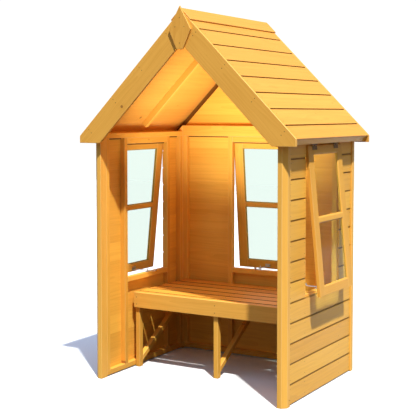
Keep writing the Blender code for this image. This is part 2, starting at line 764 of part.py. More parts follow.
def build_stay(name, window, pivot):
    """The stay of one window, its bracket on the sash and its peg on the sill."""
    out = SASH_CLOSED_GAP - STAY_PIVOT_FROM_SASH
    height = SILL_HEIGHT + STAY_PIVOT_ABOVE_SILL
    eye = (out - HINGE_OUT, height - HINGE_HEIGHT)
    half_stay = STAY_WIDTH / 2
    ear_inner = half_stay + STAY_SIDE_PLAY
    ear_outer = ear_inner + BRACKET_THICKNESS

    face = SASH_CLOSED_GAP - HINGE_OUT - GAP
    plate_low = eye[1] - EAR_RADIUS
    plate = block(
        (face - BRACKET_THICKNESS, -BRACKET_WIDTH / 2, plate_low),
        (face, BRACKET_WIDTH / 2, plate_low + BRACKET_HEIGHT),
    )
    bracket = add_piece(f"{name}_stay_bracket", plate, ZINC, pivot, True)
    ear_outline = [point for point in circle(eye, EAR_RADIUS) if point[0] <= eye[0] + GAP]
    ear_outline += [
        (face - BRACKET_THICKNESS / 2, eye[1] - EAR_RADIUS + GAP),
        (face - BRACKET_THICKNESS / 2, eye[1] + EAR_RADIUS),
    ]
    for label, start in (("low", -ear_outer), ("high", ear_inner)):
        ear = prism(ear_outline, start, start + BRACKET_THICKNESS, along_y)
        combine(bracket, "UNION", ear, f"ear_{label}")
    rivet_half = ear_outer + RIVET_PROUD
    rivet = prism(circle(eye, HINGE_PIN_RADIUS), -rivet_half, rivet_half, along_y)
    combine(bracket, "UNION", rivet, "rivet")

    stay_pivot = empty(f"{name}_stay_pivot", pivot, (eye[0], 0.0, eye[1]), (0.0, REST_OPENING, 0.0))
    half_thickness = STAY_THICKNESS / 2
    tail_run = STAY_LENGTH - STAY_TAIL_START
    under = [(0.0, -half_thickness)]
    over = [(0.0, half_thickness)]
    for step in range(STAY_TAIL_STEPS + 1):
        share = step / STAY_TAIL_STEPS
        along = -(STAY_TAIL_START + tail_run * math.sin(share * math.pi / 2))
        rise = STAY_TAIL_RISE * (1.0 - math.cos(share * math.pi / 2))
        under.append((along, rise - half_thickness))
        over.append((along + half_thickness * share, rise + half_thickness))
    bar = prism(under + over[::-1], -half_stay, half_stay, along_y)
    stay = add_piece(f"{name}_stay", bar, ZINC, stay_pivot, True)
    barrel = prism(circle((0.0, 0.0), STAY_EYE_RADIUS), -half_stay - GAP, half_stay + GAP, along_y)
    combine(stay, "UNION", barrel, "eye")
    bore_radius = HINGE_PIN_RADIUS + HINGE_RUNNING_FIT
    bore = prism(round_hole((0.0, 0.0), bore_radius), -STAY_WIDTH, STAY_WIDTH, along_y)
    combine(stay, "DIFFERENCE", bore, "bore")
    slot = prism(slot_outline(), -STAY_WIDTH, STAY_WIDTH, along_z)
    combine(stay, "DIFFERENCE", slot, "slot")

    peg_out = PEG_FROM_INNER_FACE - FRAME_DEPTH
    plate_bottom = SILL_HEIGHT + GAP
    peg_plate = block(
        (peg_out - PEG_PLATE_WIDTH / 2, -PEG_PLATE_LENGTH / 2, plate_bottom),
        (peg_out + PEG_PLATE_WIDTH / 2, PEG_PLATE_LENGTH / 2, plate_bottom + PEG_PLATE_THICKNESS),
    )
    peg = add_piece(f"{name}_stay_peg", peg_plate, ZINC, window, True)
    post = prism(
        circle((peg_out, 0.0), PEG_RADIUS), plate_bottom + GAP, plate_bottom + PEG_HEIGHT, along_z
    )
    combine(peg, "UNION", post, "post")


def slot_outline():
    """The slot of a stay, seen from above in the stay's frame, with round ends."""
    radius = STAY_SLOT_WIDTH / 2
    near = -(STAY_SLOT_START + radius)
    far = -(STAY_SLOT_END - radius)
    outline = []
    for step in range(STAY_SLOT_END_STEPS + 1):
        turn = math.pi * step / STAY_SLOT_END_STEPS - math.pi / 2
        outline.append((near + radius * math.cos(turn), radius * math.sin(turn)))
    for step in range(STAY_SLOT_END_STEPS + 1):
        turn = math.pi * step / STAY_SLOT_END_STEPS + math.pi / 2
        outline.append((far + radius * math.cos(turn), radius * math.sin(turn)))
    return outline


def build_windows():
    """The three top-hung windows with their hinges and stays, standing a little open."""
    for name in ("left", "right", "back"):
        window, opening = window_frame(name)
        half_width = opening / 2 + SASH_OVERLAP
        location = (HINGE_OUT, 0.0, HINGE_HEIGHT)
        pivot = empty(f"{name}_sash_pivot", window, location, (0.0, -REST_OPENING, 0.0))
        build_sash(name, pivot, half_width)
        for number, direction in ((1, -1), (2, 1)):
            middle = direction * (half_width - HINGE_FROM_SASH_END)
            build_hinge(name, number, window, pivot, middle)
        build_stay(name, window, pivot)


def build_bench():
    """The bench: fascia, boards, back rail and three braced supports."""
    top_of_bearers = SEAT_HEIGHT - SEAT_BOARD_THICKNESS - GAP
    fascia_front = FRONT + SEAT_FRONT
    fascia_rear = fascia_front + FASCIA_THICKNESS
    fascia_low = SEAT_HEIGHT - FASCIA_HEIGHT
    fascia = block((-HALF_WALL, fascia_front, fascia_low), (HALF_WALL, fascia_rear, SEAT_HEIGHT))
    add_piece("seat_fascia", soften(fascia, ARRIS), PLANED_TIMBER)

    boards_front = fascia_rear + GAP
    boards_rear = BACK_INNER - SEAT_BACK_CLEARANCE
    boards_low = SEAT_HEIGHT - SEAT_BOARD_THICKNESS
    full_width = boards_rear - boards_front - NARROWEST_SEAT_BOARD
    full_boards = int(full_width / SEAT_BOARD_PITCH)
    for index in range(full_boards + 1):
        rear = boards_rear - index * SEAT_BOARD_PITCH
        front = rear - SEAT_BOARD_PITCH + SEAT_BOARD_GAP
        if index == full_boards:
            front = boards_front
        board = block((-HALF_WALL, front, boards_low), (HALF_WALL, rear, SEAT_HEIGHT))
        add_piece(f"seat_board_{full_boards + 1 - index}", soften(board, ARRIS), SEAT_TIMBER)

    rail_rear = BACK_INNER - GAP
    rail_front = rail_rear - BACK_RAIL_DEPTH
    rail_low = top_of_bearers - BACK_RAIL_HEIGHT
    rail = block((-HALF_WALL, rail_front, rail_low), (HALF_WALL, rail_rear, top_of_bearers))
    add_piece("seat_back_rail", soften(rail, ARRIS), PLANED_TIMBER)

    leg_front = fascia_rear + GAP
    leg_rear = leg_front + LEG_DEPTH
    support_rear = rail_front - GAP
    slope = (BRACE_TOP_HEIGHT - BRACE_FOOT_HEIGHT) / (support_rear - leg_rear)
    half_brace = BRACE_WIDTH / 2 * math.hypot(1.0, slope)
    outline = [
        (leg_front, 0.0),
        (leg_rear, 0.0),
        (leg_rear, BRACE_FOOT_HEIGHT - half_brace),
        (support_rear, BRACE_TOP_HEIGHT - half_brace),
        (support_rear, BRACE_TOP_HEIGHT + half_brace),
        (leg_rear, BRACE_FOOT_HEIGHT + half_brace),
        (leg_rear, top_of_bearers - BEARER_DEPTH),
        (support_rear, top_of_bearers - BEARER_DEPTH),
        (support_rear, top_of_bearers),
        (leg_front, top_of_bearers),
    ]
    from_middle = HALF_WIDTH - LEG_FROM_WALL - LEG_THICKNESS / 2
    for name, middle in (("left", -from_middle), ("centre", 0.0), ("right", from_middle)):
        support = prism(outline, middle - LEG_THICKNESS / 2, middle + LEG_THICKNESS / 2, along_x)
        add_piece(f"{name}_seat_support", soften(support, ARRIS), PLANED_TIMBER)


def build_arbour():
    """Build every piece of the arbour."""
    clear_scene()
    build_posts()
    build_side_walls()
    build_back_wall()
    build_gable_frame()
    build_roof()
    build_gables()
    build_windows()
    build_bench()


build_arbour()
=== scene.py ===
"""The dressed garden arbour: every board, batten and rail a stick of timber of its own.

Metres, +Z up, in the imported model's frame. The open front faces -Y, and left is -X.
"""

import sys
import logging
import math
import random
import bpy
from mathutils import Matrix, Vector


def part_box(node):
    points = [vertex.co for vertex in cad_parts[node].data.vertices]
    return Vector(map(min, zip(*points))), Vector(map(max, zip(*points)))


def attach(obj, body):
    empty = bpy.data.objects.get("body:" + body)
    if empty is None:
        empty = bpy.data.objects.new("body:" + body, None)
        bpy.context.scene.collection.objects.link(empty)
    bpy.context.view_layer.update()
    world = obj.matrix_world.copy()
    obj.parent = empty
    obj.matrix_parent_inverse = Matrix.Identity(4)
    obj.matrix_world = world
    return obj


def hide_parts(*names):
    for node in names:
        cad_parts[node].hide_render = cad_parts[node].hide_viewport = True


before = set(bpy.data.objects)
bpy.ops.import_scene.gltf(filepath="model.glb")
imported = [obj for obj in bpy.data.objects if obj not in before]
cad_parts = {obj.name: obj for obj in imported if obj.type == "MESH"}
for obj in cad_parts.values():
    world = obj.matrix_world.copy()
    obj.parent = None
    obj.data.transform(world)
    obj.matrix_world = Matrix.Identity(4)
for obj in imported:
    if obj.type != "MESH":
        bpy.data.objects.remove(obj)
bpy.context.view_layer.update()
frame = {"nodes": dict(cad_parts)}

import zlib
from dataclasses import dataclass
from enum import Enum
from typing import Iterable, Sequence, Union

import bmesh
import bpy
import numpy as np
from mathutils import Matrix, Vector

log = logging.getLogger("arbour")

Span = tuple[float, float]
Triple = tuple[float, float, float]
Colour = tuple[float, float, float]
Outline = Sequence[Span]
Spot = tuple[Vector, Vector]
Socket = bpy.types.NodeSocket
Solid = bmesh.types.BMesh
Value = Union[float, tuple, Socket]

SHELTER = "shelter"

# The gap between sticks that touch, and the angles that count as an arris and as a sharp edge

FIT = 0.0003
ARRIS_ANGLE = math.radians(20.0)
SHARP_ANGLE = math.radians(50.0)

# Where in its log a stick may have been sawn: along the grain, across it and out from the heart

LOG_PLACES = ((0.0, 40.0), (-0.045, 0.045), (0.03, 0.10))

# What Blender's wave texture multiplies a coordinate by

WAVE_FACTOR = 20.0

DIAGONAL = math.sqrt(0.5)
UP = Vector((0.0, 0.0, 1.0))
ALONG_X = Vector((1.0, 0.0, 0.0))
ALONG_Y = Vector((0.0, 1.0, 0.0))


class Named(Enum):
    """A choice that is called by its own name in the model."""

    @property
    def word(self) -> str:
        """The name in the model."""
        return self.name.lower()


class Side(Named):
    """The two sides of the arbour, as seen from the front."""

    LEFT = -1
    RIGHT = 1

    @property
    def down_slope(self) -> Vector:
        """The way down this side's slope of the roof."""
        return Vector((self.value, 0.0, -1.0))

    @property
    def off_slope(self) -> Vector:
        """The way this side's slope of the roof faces."""
        return Vector((self.value, 0.0, 1.0))


class End(Named):
    """The two ends of the roof."""

    FRONT = -1
    REAR = 1


# Finishes


@dataclass(frozen=True)
class Pattern:
    """A cloudy pattern: how fine it is each way, how many finer layers it has and how strong they are."""

    fineness: Triple
    detail: float = 2.0
    rough: float = 0.5


class Nodes:
    """Builds a node tree in a few words."""

    def __init__(self, tree: bpy.types.NodeTree) -> None:
        """Start on a tree.

        Args:
            tree: the tree that the nodes go into.
        """
        self.tree = tree

    @staticmethod
    def feed(socket: Socket, value: Value) -> None:
        """Set or link one input.

        Args:
            socket: the input.
            value: a number, a colour, a vector or another node's output.
        """
        if isinstance(value, Socket):
            socket.id_data.links.new(value, socket)
        elif isinstance(value, tuple) and socket.type == "RGBA" and len(value) == 3:
            socket.default_value = (*value, 1.0)
        else:
            socket.default_value = value

    def node(self, kind: str, inputs: dict, **settings: object) -> bpy.types.Node:
        """Add a node.

        Args:
            kind: the node's type, without its ShaderNode beginning.
            inputs: values by input name or number.
            settings: the node's own settings.

        Returns:
            The node.
        """
        made = self.tree.nodes.new("ShaderNode" + kind)
        for name, value in settings.items():
            setattr(made, name, value)
        for key, value in inputs.items():
            self.feed(made.inputs[key], value)
        return made

    def sum(
        self, operation: str, first: Value, second: Value = 0.0, third: Value = 0.0, clamp: bool = False
    ) -> Socket:
        """One step of arithmetic.

        Args:
            operation: the Math node's operation.
            first: the first value.
            second: the second value.
            third: the third value.
            clamp: whether the result is kept between 0 and 1.

        Returns:
            The result.
        """
        inputs = {0: first, 1: second, 2: third}
        return self.node("Math", inputs, operation=operation, use_clamp=clamp).outputs[0]

    def times(self, first: Value, second: Value) -> Socket:
        """The product of two values."""
        return self.sum("MULTIPLY", first, second)

    def layered(
        self, layers: Sequence[tuple[Value, float]], start: float = 0.0, clamp: bool = True
    ) -> Socket:
        """Add up layers, each at its own strength.

        Args:
            layers: each layer with its strength.
            start: what they are added to.
            clamp: whether the total is kept between 0 and 1.

        Returns:
            The total.
        """
        total: Value = start
        for number, (layer, strength) in enumerate(layers, 1):
            total = self.sum("MULTIPLY_ADD", layer, strength, total, clamp and number == len(layers))
        return total

    def span(self, value: Value, low: float, high: float, to_low: float, to_high: float) -> Socket:
        """A smooth change from one range to another.

        Args:
            value: what is measured.
            low: where the change starts.
            high: where the change ends.
            to_low: the result at the start.
            to_high: the result at the end.

        Returns:
            The result.
        """
        inputs = {0: value, 1: low, 2: high, 3: to_low, 4: to_high}
        return self.node("MapRange", inputs, interpolation_type="SMOOTHSTEP").outputs[0]

    def mix(self, share: Value, first: Value, second: Value, blend: str = "MIX") -> Socket:
        """Mix two colours.

        Args:
            share: how much of the second colour.
            first: the first colour.
            second: the second colour.
            blend: the way they are mixed.

        Returns:
            The colour.
        """
        inputs = {0: share, 6: first, 7: second}
        return self.node("Mix", inputs, data_type="RGBA", blend_type=blend).outputs[2]

    def vector(self, operation: str, first: Value, second: Value) -> Socket:
        """One step of arithmetic on vectors.

        Args:
            operation: the Vector Math node's operation.
            first: the first vector.
            second: the second vector.

        Returns:
            The result.
        """
        return self.node("VectorMath", {0: first, 1: second}, operation=operation).outputs[0]

    def cloudy(self, place: Value, pattern: Pattern, output: str = "Fac") -> Socket:
        """A cloudy pattern.

        Args:
            place: the coordinate.
            pattern: how fine and how rough it is.
            output: which of the texture's outputs is wanted.

        Returns:
            The output.
        """
        finer = self.vector("MULTIPLY", place, pattern.fineness)
        inputs = {"Vector": finer, "Scale": 1.0, "Detail": pattern.detail, "Roughness": pattern.rough}
        return self.node("TexNoise", inputs).outputs[output]


class Dressing(Nodes):
    """The node tree of one material."""

    def __init__(self, name: str) -> None:
        """Start a material.

        Args:
            name: the material's name.
        """
        self.material = bpy.data.materials.new(name)
        self.material.use_nodes = True
        super().__init__(self.material.node_tree)
        self.shader = self.tree.nodes["Principled BSDF"]
        self.output = self.tree.nodes["Material Output"]

    def attribute(self, name: str, output: str = "Fac") -> Socket:
        """What the sticks carry under one name."""
        return self.node("Attribute", {}, attribute_name=name).outputs[output]

    def place(self) -> Socket:
        """The place on the piece."""
        return self.node("TexCoord", {}).outputs["Object"]

    def even(self, **values: float) -> None:
        """Set what is the same all over the surface on the shader's own inputs.

        Args:
            values: values by the input's name, with underscores for spaces.
        """
        for name, value in values.items():
            self.shader.inputs[name.replace("_", " ")].default_value = value

    def coat(self, colour: Value, rough: Value, height: Value, strength: float, distance: float) -> None:
        """Join the colour, the roughness and the fine relief to the shader.

        Args:
            colour: the colour.
            rough: the roughness.
            height: the relief's height.
            strength: how strong the relief is.
            distance: how high it is at most.
        """
        bump = self.node("Bump", {"Strength": strength, "Distance": distance, "Height": height})
        self.feed(self.shader.inputs["Base Color"], colour)
        self.feed(self.shader.inputs["Roughness"], rough)
        self.feed(self.shader.inputs["Normal"], bump.outputs[0])


@dataclass(frozen=True)
class WoodFinish:
    """Softwood under a clear honey-coloured stain.

    Colours are linear, and lengths are in metres. A strength says how much a layer darkens the wood, a rough
    value how much it dulls the gloss, and a high value how far it stands up.
    """

    name: str
    light: Colour
    dark: Colour
    knot: Colour = (0.30, 0.105, 0.022)
    # Paler colour on the softened arrises: partly real wear, partly painted highlight along the edges.
    worn: Colour = (0.93, 0.64, 0.27)
    # Painted shade: a near-black colour, and how much of it goes on the marked faces in coves, board gaps,
    # the roof's rear slot and the strips under the rails.
    gathered: Colour = (0.085, 0.030, 0.007)
    gathered_share: float = 0.88
    knots_per_metre: float = 4.2
    knot_share: float = 0.14
    knot_radius: float = 0.0085
    knot_sizes: Span = (0.45, 1.15)
    knot_edge: Span = (0.75, 1.15)
    knot_wobble: Pattern = Pattern((40.0, 60.0, 60.0))
    knot_unevenness: float = 0.012
    knot_darkness: float = 0.82
    halo_edge: Span = (0.6, 4.5)
    halo_strength: float = 0.16
    ring_spacing: float = 0.007
    ring_length: float = 0.03
    ring_wander: Pattern = Pattern((1.1, 5.0, 5.0), 3.0, 0.55)
    ring_wander_width: float = 0.050
    ring_swirl: Span = (0.010, 0.006)
    ring_waviness: Triple = (0.6, 1.5, 0.6)
    ring_sharpness: float = 2.4
    ring_strength: float = 0.34
    streaks: Pattern = Pattern((1.6, 52.0, 52.0), 3.0, 0.6)
    streak_edge: Span = (0.30, 0.72)
    streak_strength: float = 0.30
    fibres: Pattern = Pattern((14.0, 620.0, 620.0), 2.0, 0.6)
    fibre_strength: float = 0.16
    clouds: Pattern = Pattern((1.3, 7.0, 7.0), 3.0, 0.6)
    cloud_strength: float = 0.55
    tone_spread: float = 0.10
    warmth_share: float = 0.6
    worn_share: float = 0.45
    worn_least: float = 0.35
    worn_edge: Span = (0.35, 0.62)
    roughness: float = 0.52
    roughness_drop: float = 0.06
    fibre_rough: float = 0.14
    ring_rough: float = -0.07
    worn_rough: float = 0.16
    relief: float = 0.30
    relief_height: float = 0.0006
    ring_high: float = 0.45
    fibre_high: float = 0.55
    knot_high: float = 0.6
    bend: float = 1.45
    gloss: float = 0.35

    def knots(self, d: Dressing, grain: Socket) -> tuple[Socket, Socket]:
        """Scatter the knots.

        Args:
            d: the material's tree.
            grain: the place in the log.

        Returns:
            How much each place belongs to a knot, and how much to the wood that swirls around one.
        """
        inputs = {"Vector": grain, "Scale": self.knots_per_metre, "Randomness": 1.0}
        cells = d.node("TexVoronoi", inputs, voronoi_dimensions="2D").outputs
        chosen = d.node("SeparateColor", {0: cells["Color"]}).outputs
        has_knot = d.sum("LESS_THAN", chosen[0], self.knot_share)
        wobble = d.sum("SUBTRACT", d.cloudy(grain, self.knot_wobble), 0.5)
        away = d.sum("ADD", cells["Distance"], d.times(wobble, self.knot_unevenness))
        size = d.span(chosen[1], 0.0, 1.0, *self.knot_sizes)
        nearness = d.sum("DIVIDE", away, d.times(self.knot_radius * self.knots_per_metre, size))
        knot = d.times(d.span(nearness, *self.knot_edge, 1.0, 0.0), has_knot)
        halo = d.times(d.span(nearness, *self.halo_edge, 1.0, 0.0), has_knot)
        return knot, halo

    def rings(self, d: Dressing, grain: Socket, halo: Socket) -> Socket:
        """Draw the growth rings, which wander along the stick and bend around its knots.

        Args:
            d: the material's tree.
            grain: the place in the log.
            halo: how much each place belongs to the wood around a knot.

        Returns:
            How dark the ring is.
        """
        wander = d.vector("SUBTRACT", d.cloudy(grain, self.ring_wander, "Color"), (0.5, 0.5, 0.5))
        wander = d.vector("MULTIPLY", wander, (0.0, self.ring_wander_width, self.ring_wander_width))
        bent = d.vector("ADD", d.vector("MULTIPLY", grain, (self.ring_length, 1.0, 1.0)), wander)
        swirl = {1: d.times(halo, self.ring_swirl[0]), 2: d.times(halo, self.ring_swirl[1])}
        bent = d.vector("ADD", bent, d.node("CombineXYZ", swirl).outputs[0])
        distortion, detail, detail_scale = self.ring_waviness
        inputs = {
            "Vector": bent,
            "Scale": math.tau / (WAVE_FACTOR * self.ring_spacing),
            "Distortion": distortion,
            "Detail": detail,
            "Detail Scale": detail_scale,
        }
        wave = d.node("TexWave", inputs, wave_type="RINGS", rings_direction="X", wave_profile="SAW")
        return d.sum("POWER", wave.outputs["Fac"], self.ring_sharpness)

    def make(self) -> bpy.types.Material:
        """Build the material.

        Returns:
            The material.
        """
        d = Dressing(self.name)
        grain = d.attribute("grain", "Vector")
        tone, arris, hollow = (d.attribute(name) for name in ("tone", "arris", "hollow"))
        knot, halo = self.knots(d, grain)
        rings = self.rings(d, grain, halo)
        streaks, fibres, clouds = (d.cloudy(grain, p) for p in (self.streaks, self.fibres, self.clouds))

        layers = [
            (rings, self.ring_strength),
            (d.span(streaks, *self.streak_edge, 0.0, 1.0), self.streak_strength),
            (fibres, self.fibre_strength),
            (d.sum("SUBTRACT", clouds, 0.5), self.cloud_strength),
            (halo, self.halo_strength),
        ]
        colour = d.mix(d.layered(layers), self.light, self.dark)

        bright = d.sum("MULTIPLY_ADD", tone, self.tone_spread, 1.0)
        warmth = d.sum("MULTIPLY_ADD", tone, self.tone_spread * self.warmth_share, 1.0)
        yellow = d.times(bright, d.sum("POWER", warmth, 2.0))
        shade = d.node("CombineColor", {0: bright, 1: d.times(bright, warmth), 2: yellow}).outputs[0]
        colour = d.mix(1.0, colour, shade, "MULTIPLY")
        colour = d.mix(d.times(knot, self.knot_darkness), colour, self.knot)
        # Paler arrises: partly wear, partly painted highlight on the edges.
        least = self.worn_share * self.worn_least
        wear_and_highlight = d.times(arris, d.span(clouds, *self.worn_edge, least, self.worn_share))
        colour = d.mix(wear_and_highlight, colour, self.worn)
        # Painted shade: the marked faces are darkened towards the near-black colour.
        colour = d.mix(d.times(hollow, self.gathered_share), colour, self.gathered)

        dull = [(fibres, self.fibre_rough), (rings, self.ring_rough), (wear_and_highlight, self.worn_rough)]
        high = [(rings, self.ring_high), (fibres, self.fibre_high), (knot, self.knot_high)]
        rough = d.layered(dull, self.roughness - self.roughness_drop)
        d.coat(colour, rough, d.layered(high, clamp=False), self.relief, self.relief_height)
        d.even(IOR=self.bend, Specular_IOR_Level=self.gloss)
        return d.material


@dataclass(frozen=True)
class ZincFinish:
    """Zinc plate with a faint spangle and light handling marks."""

    name: str = "zinc_plate"
    light: Colour = (0.72, 0.72, 0.70)
    dark: Colour = (0.50, 0.50, 0.49)
    roughness: float = 0.34
    metallic: float = 1.0
    spangle_scale: float = 160.0
    spangle_share: float = 0.35
    clouds: Pattern = Pattern((45.0, 45.0, 45.0), 3.0, 0.6)
    marks: Pattern = Pattern((90.0, 900.0, 300.0))
    roughness_drop: float = 0.08
    mark_rough: float = 0.24
    relief: float = 0.12
    relief_height: float = 0.0003

    def make(self) -> bpy.types.Material:
        """Build the material.

        Returns:
            The material.
        """
        d = Dressing(self.name)
        place = d.place()
        spangle = d.node("TexVoronoi", {"Vector": place, "Scale": self.spangle_scale}).outputs["Color"]
        facet = d.node("SeparateColor", {0: spangle}).outputs[0]
        marks = d.cloudy(place, self.marks)
        layers = [(facet, self.spangle_share), (d.cloudy(place, self.clouds), 1.0 - self.spangle_share)]
        rough = d.layered([(marks, self.mark_rough)], self.roughness - self.roughness_drop)
        colour = d.mix(d.layered(layers), self.light, self.dark)
        d.coat(colour, rough, marks, self.relief, self.relief_height)
        d.even(Metallic=self.metallic)
        return d.material


@dataclass(frozen=True)
class PaneFinish:
    """Clear glazing sheet with a faint green cast, which lets the sun through."""

    name: str = "clear_pane"
    tint: Colour = (0.80, 0.93, 0.86)
    shadow_tint: Colour = (0.70, 0.78, 0.74)
    bend: float = 1.08
    smears: Pattern = Pattern((3.0, 3.0, 1.2), 4.0, 0.6)
    smear_edge: Span = (0.45, 0.75)
    roughness: Span = (0.004, 0.05)
    ripple: Pattern = Pattern((5.0, 5.0, 5.0), 1.0)
    ripple_strength: float = 0.03
    ripple_height: float = 0.001

    def make(self) -> bpy.types.Material:
        """Build the material.

        Returns:
            The material.
        """
        d = Dressing(self.name)
        place = d.place()
        rough = d.span(d.cloudy(place, self.smears), *self.smear_edge, *self.roughness)
        d.coat(self.tint, rough, d.cloudy(place, self.ripple), self.ripple_strength, self.ripple_height)
        d.even(Transmission_Weight=1.0, IOR=self.bend)
        through = d.node("BsdfTransparent", {0: self.shadow_tint})
        lamp_ray = d.node("LightPath", {}).outputs["Is Shadow Ray"]
        both = d.node("MixShader", {0: lamp_ray, 1: d.shader.outputs[0], 2: through.outputs[0]})
        d.feed(d.output.inputs["Surface"], both.outputs[0])
        return d.material


@dataclass(frozen=True)
class FloorFinish:
    """A plain pale studio floor, very slightly mottled."""

    name: str = "pale_floor"
    pale: Colour = (0.82, 0.87, 0.96)
    paler: Colour = (0.86, 0.90, 0.98)
    thrown_back: Colour = (0.05, 0.045, 0.03)
    through_pane: Colour = (0.55, 0.55, 0.55)
    mottle: Pattern = Pattern((0.7, 0.7, 0.7), 4.0, 0.6)
    roughness: float = 0.9
    gloss: float = 0.1

    def make(self) -> bpy.types.Material:
        """Build the material.

        Returns:
            The material.
        """
        d = Dressing(self.name)
        ray = d.node("LightPath", {}).outputs
        mottled = d.mix(d.cloudy(d.place(), self.mottle), self.pale, self.paler)
        colour = d.mix(ray["Is Transmission Ray"], mottled, self.through_pane)
        d.feed(d.shader.inputs["Base Color"], d.mix(ray["Is Diffuse Ray"], colour, self.thrown_back))
        d.even(Roughness=self.roughness, Specular_IOR_Level=self.gloss)
        return d.material


@dataclass(frozen=True)
class Coat:
    """A finish as it is put on: the material and its slot in the record."""

    material: bpy.types.Material
    slot: str


class Finishes:
    """Every finish of the arbour, each made once."""

    def __init__(self) -> None:
        """Make the materials."""
        planed = WoodFinish("planed_timber", (0.81, 0.420, 0.076), (0.66, 0.297, 0.042))
        framing = WoodFinish("frame_timber", (0.85, 0.455, 0.074), (0.67, 0.305, 0.038), ring_spacing=0.006)
        cladding = WoodFinish(
            "cladding_boards",
            (0.91, 0.500, 0.080),
            (0.74, 0.360, 0.045),
            ring_spacing=0.009,
            tone_spread=0.07,
            gathered_share=0.62,
        )
        roof = WoodFinish(
            "roof_boards",
            (0.80, 0.390, 0.069),
            (0.67, 0.295, 0.043),
            ring_spacing=0.010,
            tone_spread=0.05,
            roughness=0.56,
        )
        sash = WoodFinish(
            "sash_timber",
            (0.84, 0.450, 0.076),
            (0.70, 0.330, 0.044),
            ring_spacing=0.005,
            knot_share=0.05,
            tone_spread=0.06,
        )
        seat = WoodFinish(
            "seat_boards", (0.82, 0.395, 0.060), (0.62, 0.255, 0.030), ring_spacing=0.008, roughness=0.48
        )
        browned = ZincFinish("browned_zinc", (0.19, 0.105, 0.030), (0.12, 0.062, 0.018), 0.72, 0.05)
        self.planed = Coat(planed.make(), "planed_timber")
        self.framing = Coat(framing.make(), "frame_timber")
        self.cladding = Coat(cladding.make(), "cladding")
        self.roof = Coat(roof.make(), "roof_timber")
        self.sash = Coat(sash.make(), "sash_timber")
        self.seat = Coat(seat.make(), "seat_timber")
        self.zinc = Coat(ZincFinish().make(), "zinc_plate")
        self.browned_zinc = Coat(browned.make(), "zinc_plate")
        self.pane = PaneFinish().make()
        self.floor = FloorFinish().make()


# Shapes


def push(outline: Iterable[Vector], travel: Vector) -> Solid:
    """A closed solid: a flat outline pushed along a line.

    Args:
        outline: the corners, in order.
        travel: how far and which way they go.

    Returns:
        The solid.
    """
    shape = bmesh.new()
    corners = list(outline)
    near = [shape.verts.new(corner) for corner in corners]
    far = [shape.verts.new(corner + travel) for corner in corners]
    shape.faces.new(near)
    shape.faces.new(far)
    for index, start in enumerate(near):
        following = (index + 1) % len(near)
        shape.faces.new((start, near[following], far[following], far[index]))
    bmesh.ops.recalc_face_normals(shape, faces=shape.faces)
    return shape


def block(corner: Sequence[float], opposite: Sequence[float]) -> Solid:
    """A squared stick between two opposite corners.

    Args:
        corner: one corner.
        opposite: the corner furthest from it.

    Returns:
        The solid.
    """
    low, high = ([choose(pair) for pair in zip(corner, opposite)] for choose in (min, max))
    foot = [(low[0], low[1]), (high[0], low[1]), (high[0], high[1]), (low[0], high[1])]
    return push((Vector((x, y, low[2])) for x, y in foot), UP * (high[2] - low[2]))


def soften(shape: Solid, width: float) -> set[int]:
    """Take the sharpness off every outer arris.

    Args:
        shape: the solid, which is changed.
        width: how far in from the arris the rounding starts.

    Returns:
        The numbers of the faces that make up the softened arrises.
    """
    arrises = [edge for edge in shape.edges if edge.is_convex and edge.calc_face_angle(0.0) > ARRIS_ANGLE]
    made = bmesh.ops.bevel(
        shape,
        geom=arrises,
        offset=width,
        offset_type="OFFSET",
        segments=2,
        profile=0.5,
        affect="EDGES",
        clamp_overlap=True,
    )
    shape.faces.index_update()
    return {face.index for face in made["faces"]}


def facing(shape: Solid, way: Vector) -> set[int]:
    """The numbers of the faces that look one way, softened arrises and all.

    Args:
        shape: the solid.
        way: the way they look.

    Returns:
        The faces' numbers.
    """
    least = 0.3
    shape.normal_update()
    shape.faces.index_update()
    return {face.index for face in shape.faces if face.normal.dot(way) > least}


def carve(shape: Solid, tool: Solid, operation: str) -> Solid:
    """Cut one solid with another.

    Args:
        shape: the solid, which is used up.
        tool: the other solid, which is used up.
        operation: DIFFERENCE or INTERSECT.

    Returns:
        What is left.
    """
    helpers = []
    for label, solid in (("work", shape), ("tool", tool)):
        mesh = bpy.data.meshes.new("carving_" + label)
        solid.to_mesh(mesh)
        solid.free()
        helpers.append(bpy.data.objects.new("carving_" + label, mesh))
        bpy.context.scene.collection.objects.link(helpers[-1])
    work, cutter = helpers
    change = work.modifiers.new("carve", "BOOLEAN")
    change.operation = operation
    change.solver = "EXACT"
    change.object = cutter
    cut = work.evaluated_get(bpy.context.evaluated_depsgraph_get())
    left = bmesh.new()
    left.from_mesh(cut.data)
    for helper in helpers:
        mesh = helper.data
        bpy.data.objects.remove(helper)
        bpy.data.meshes.remove(mesh)
    return left


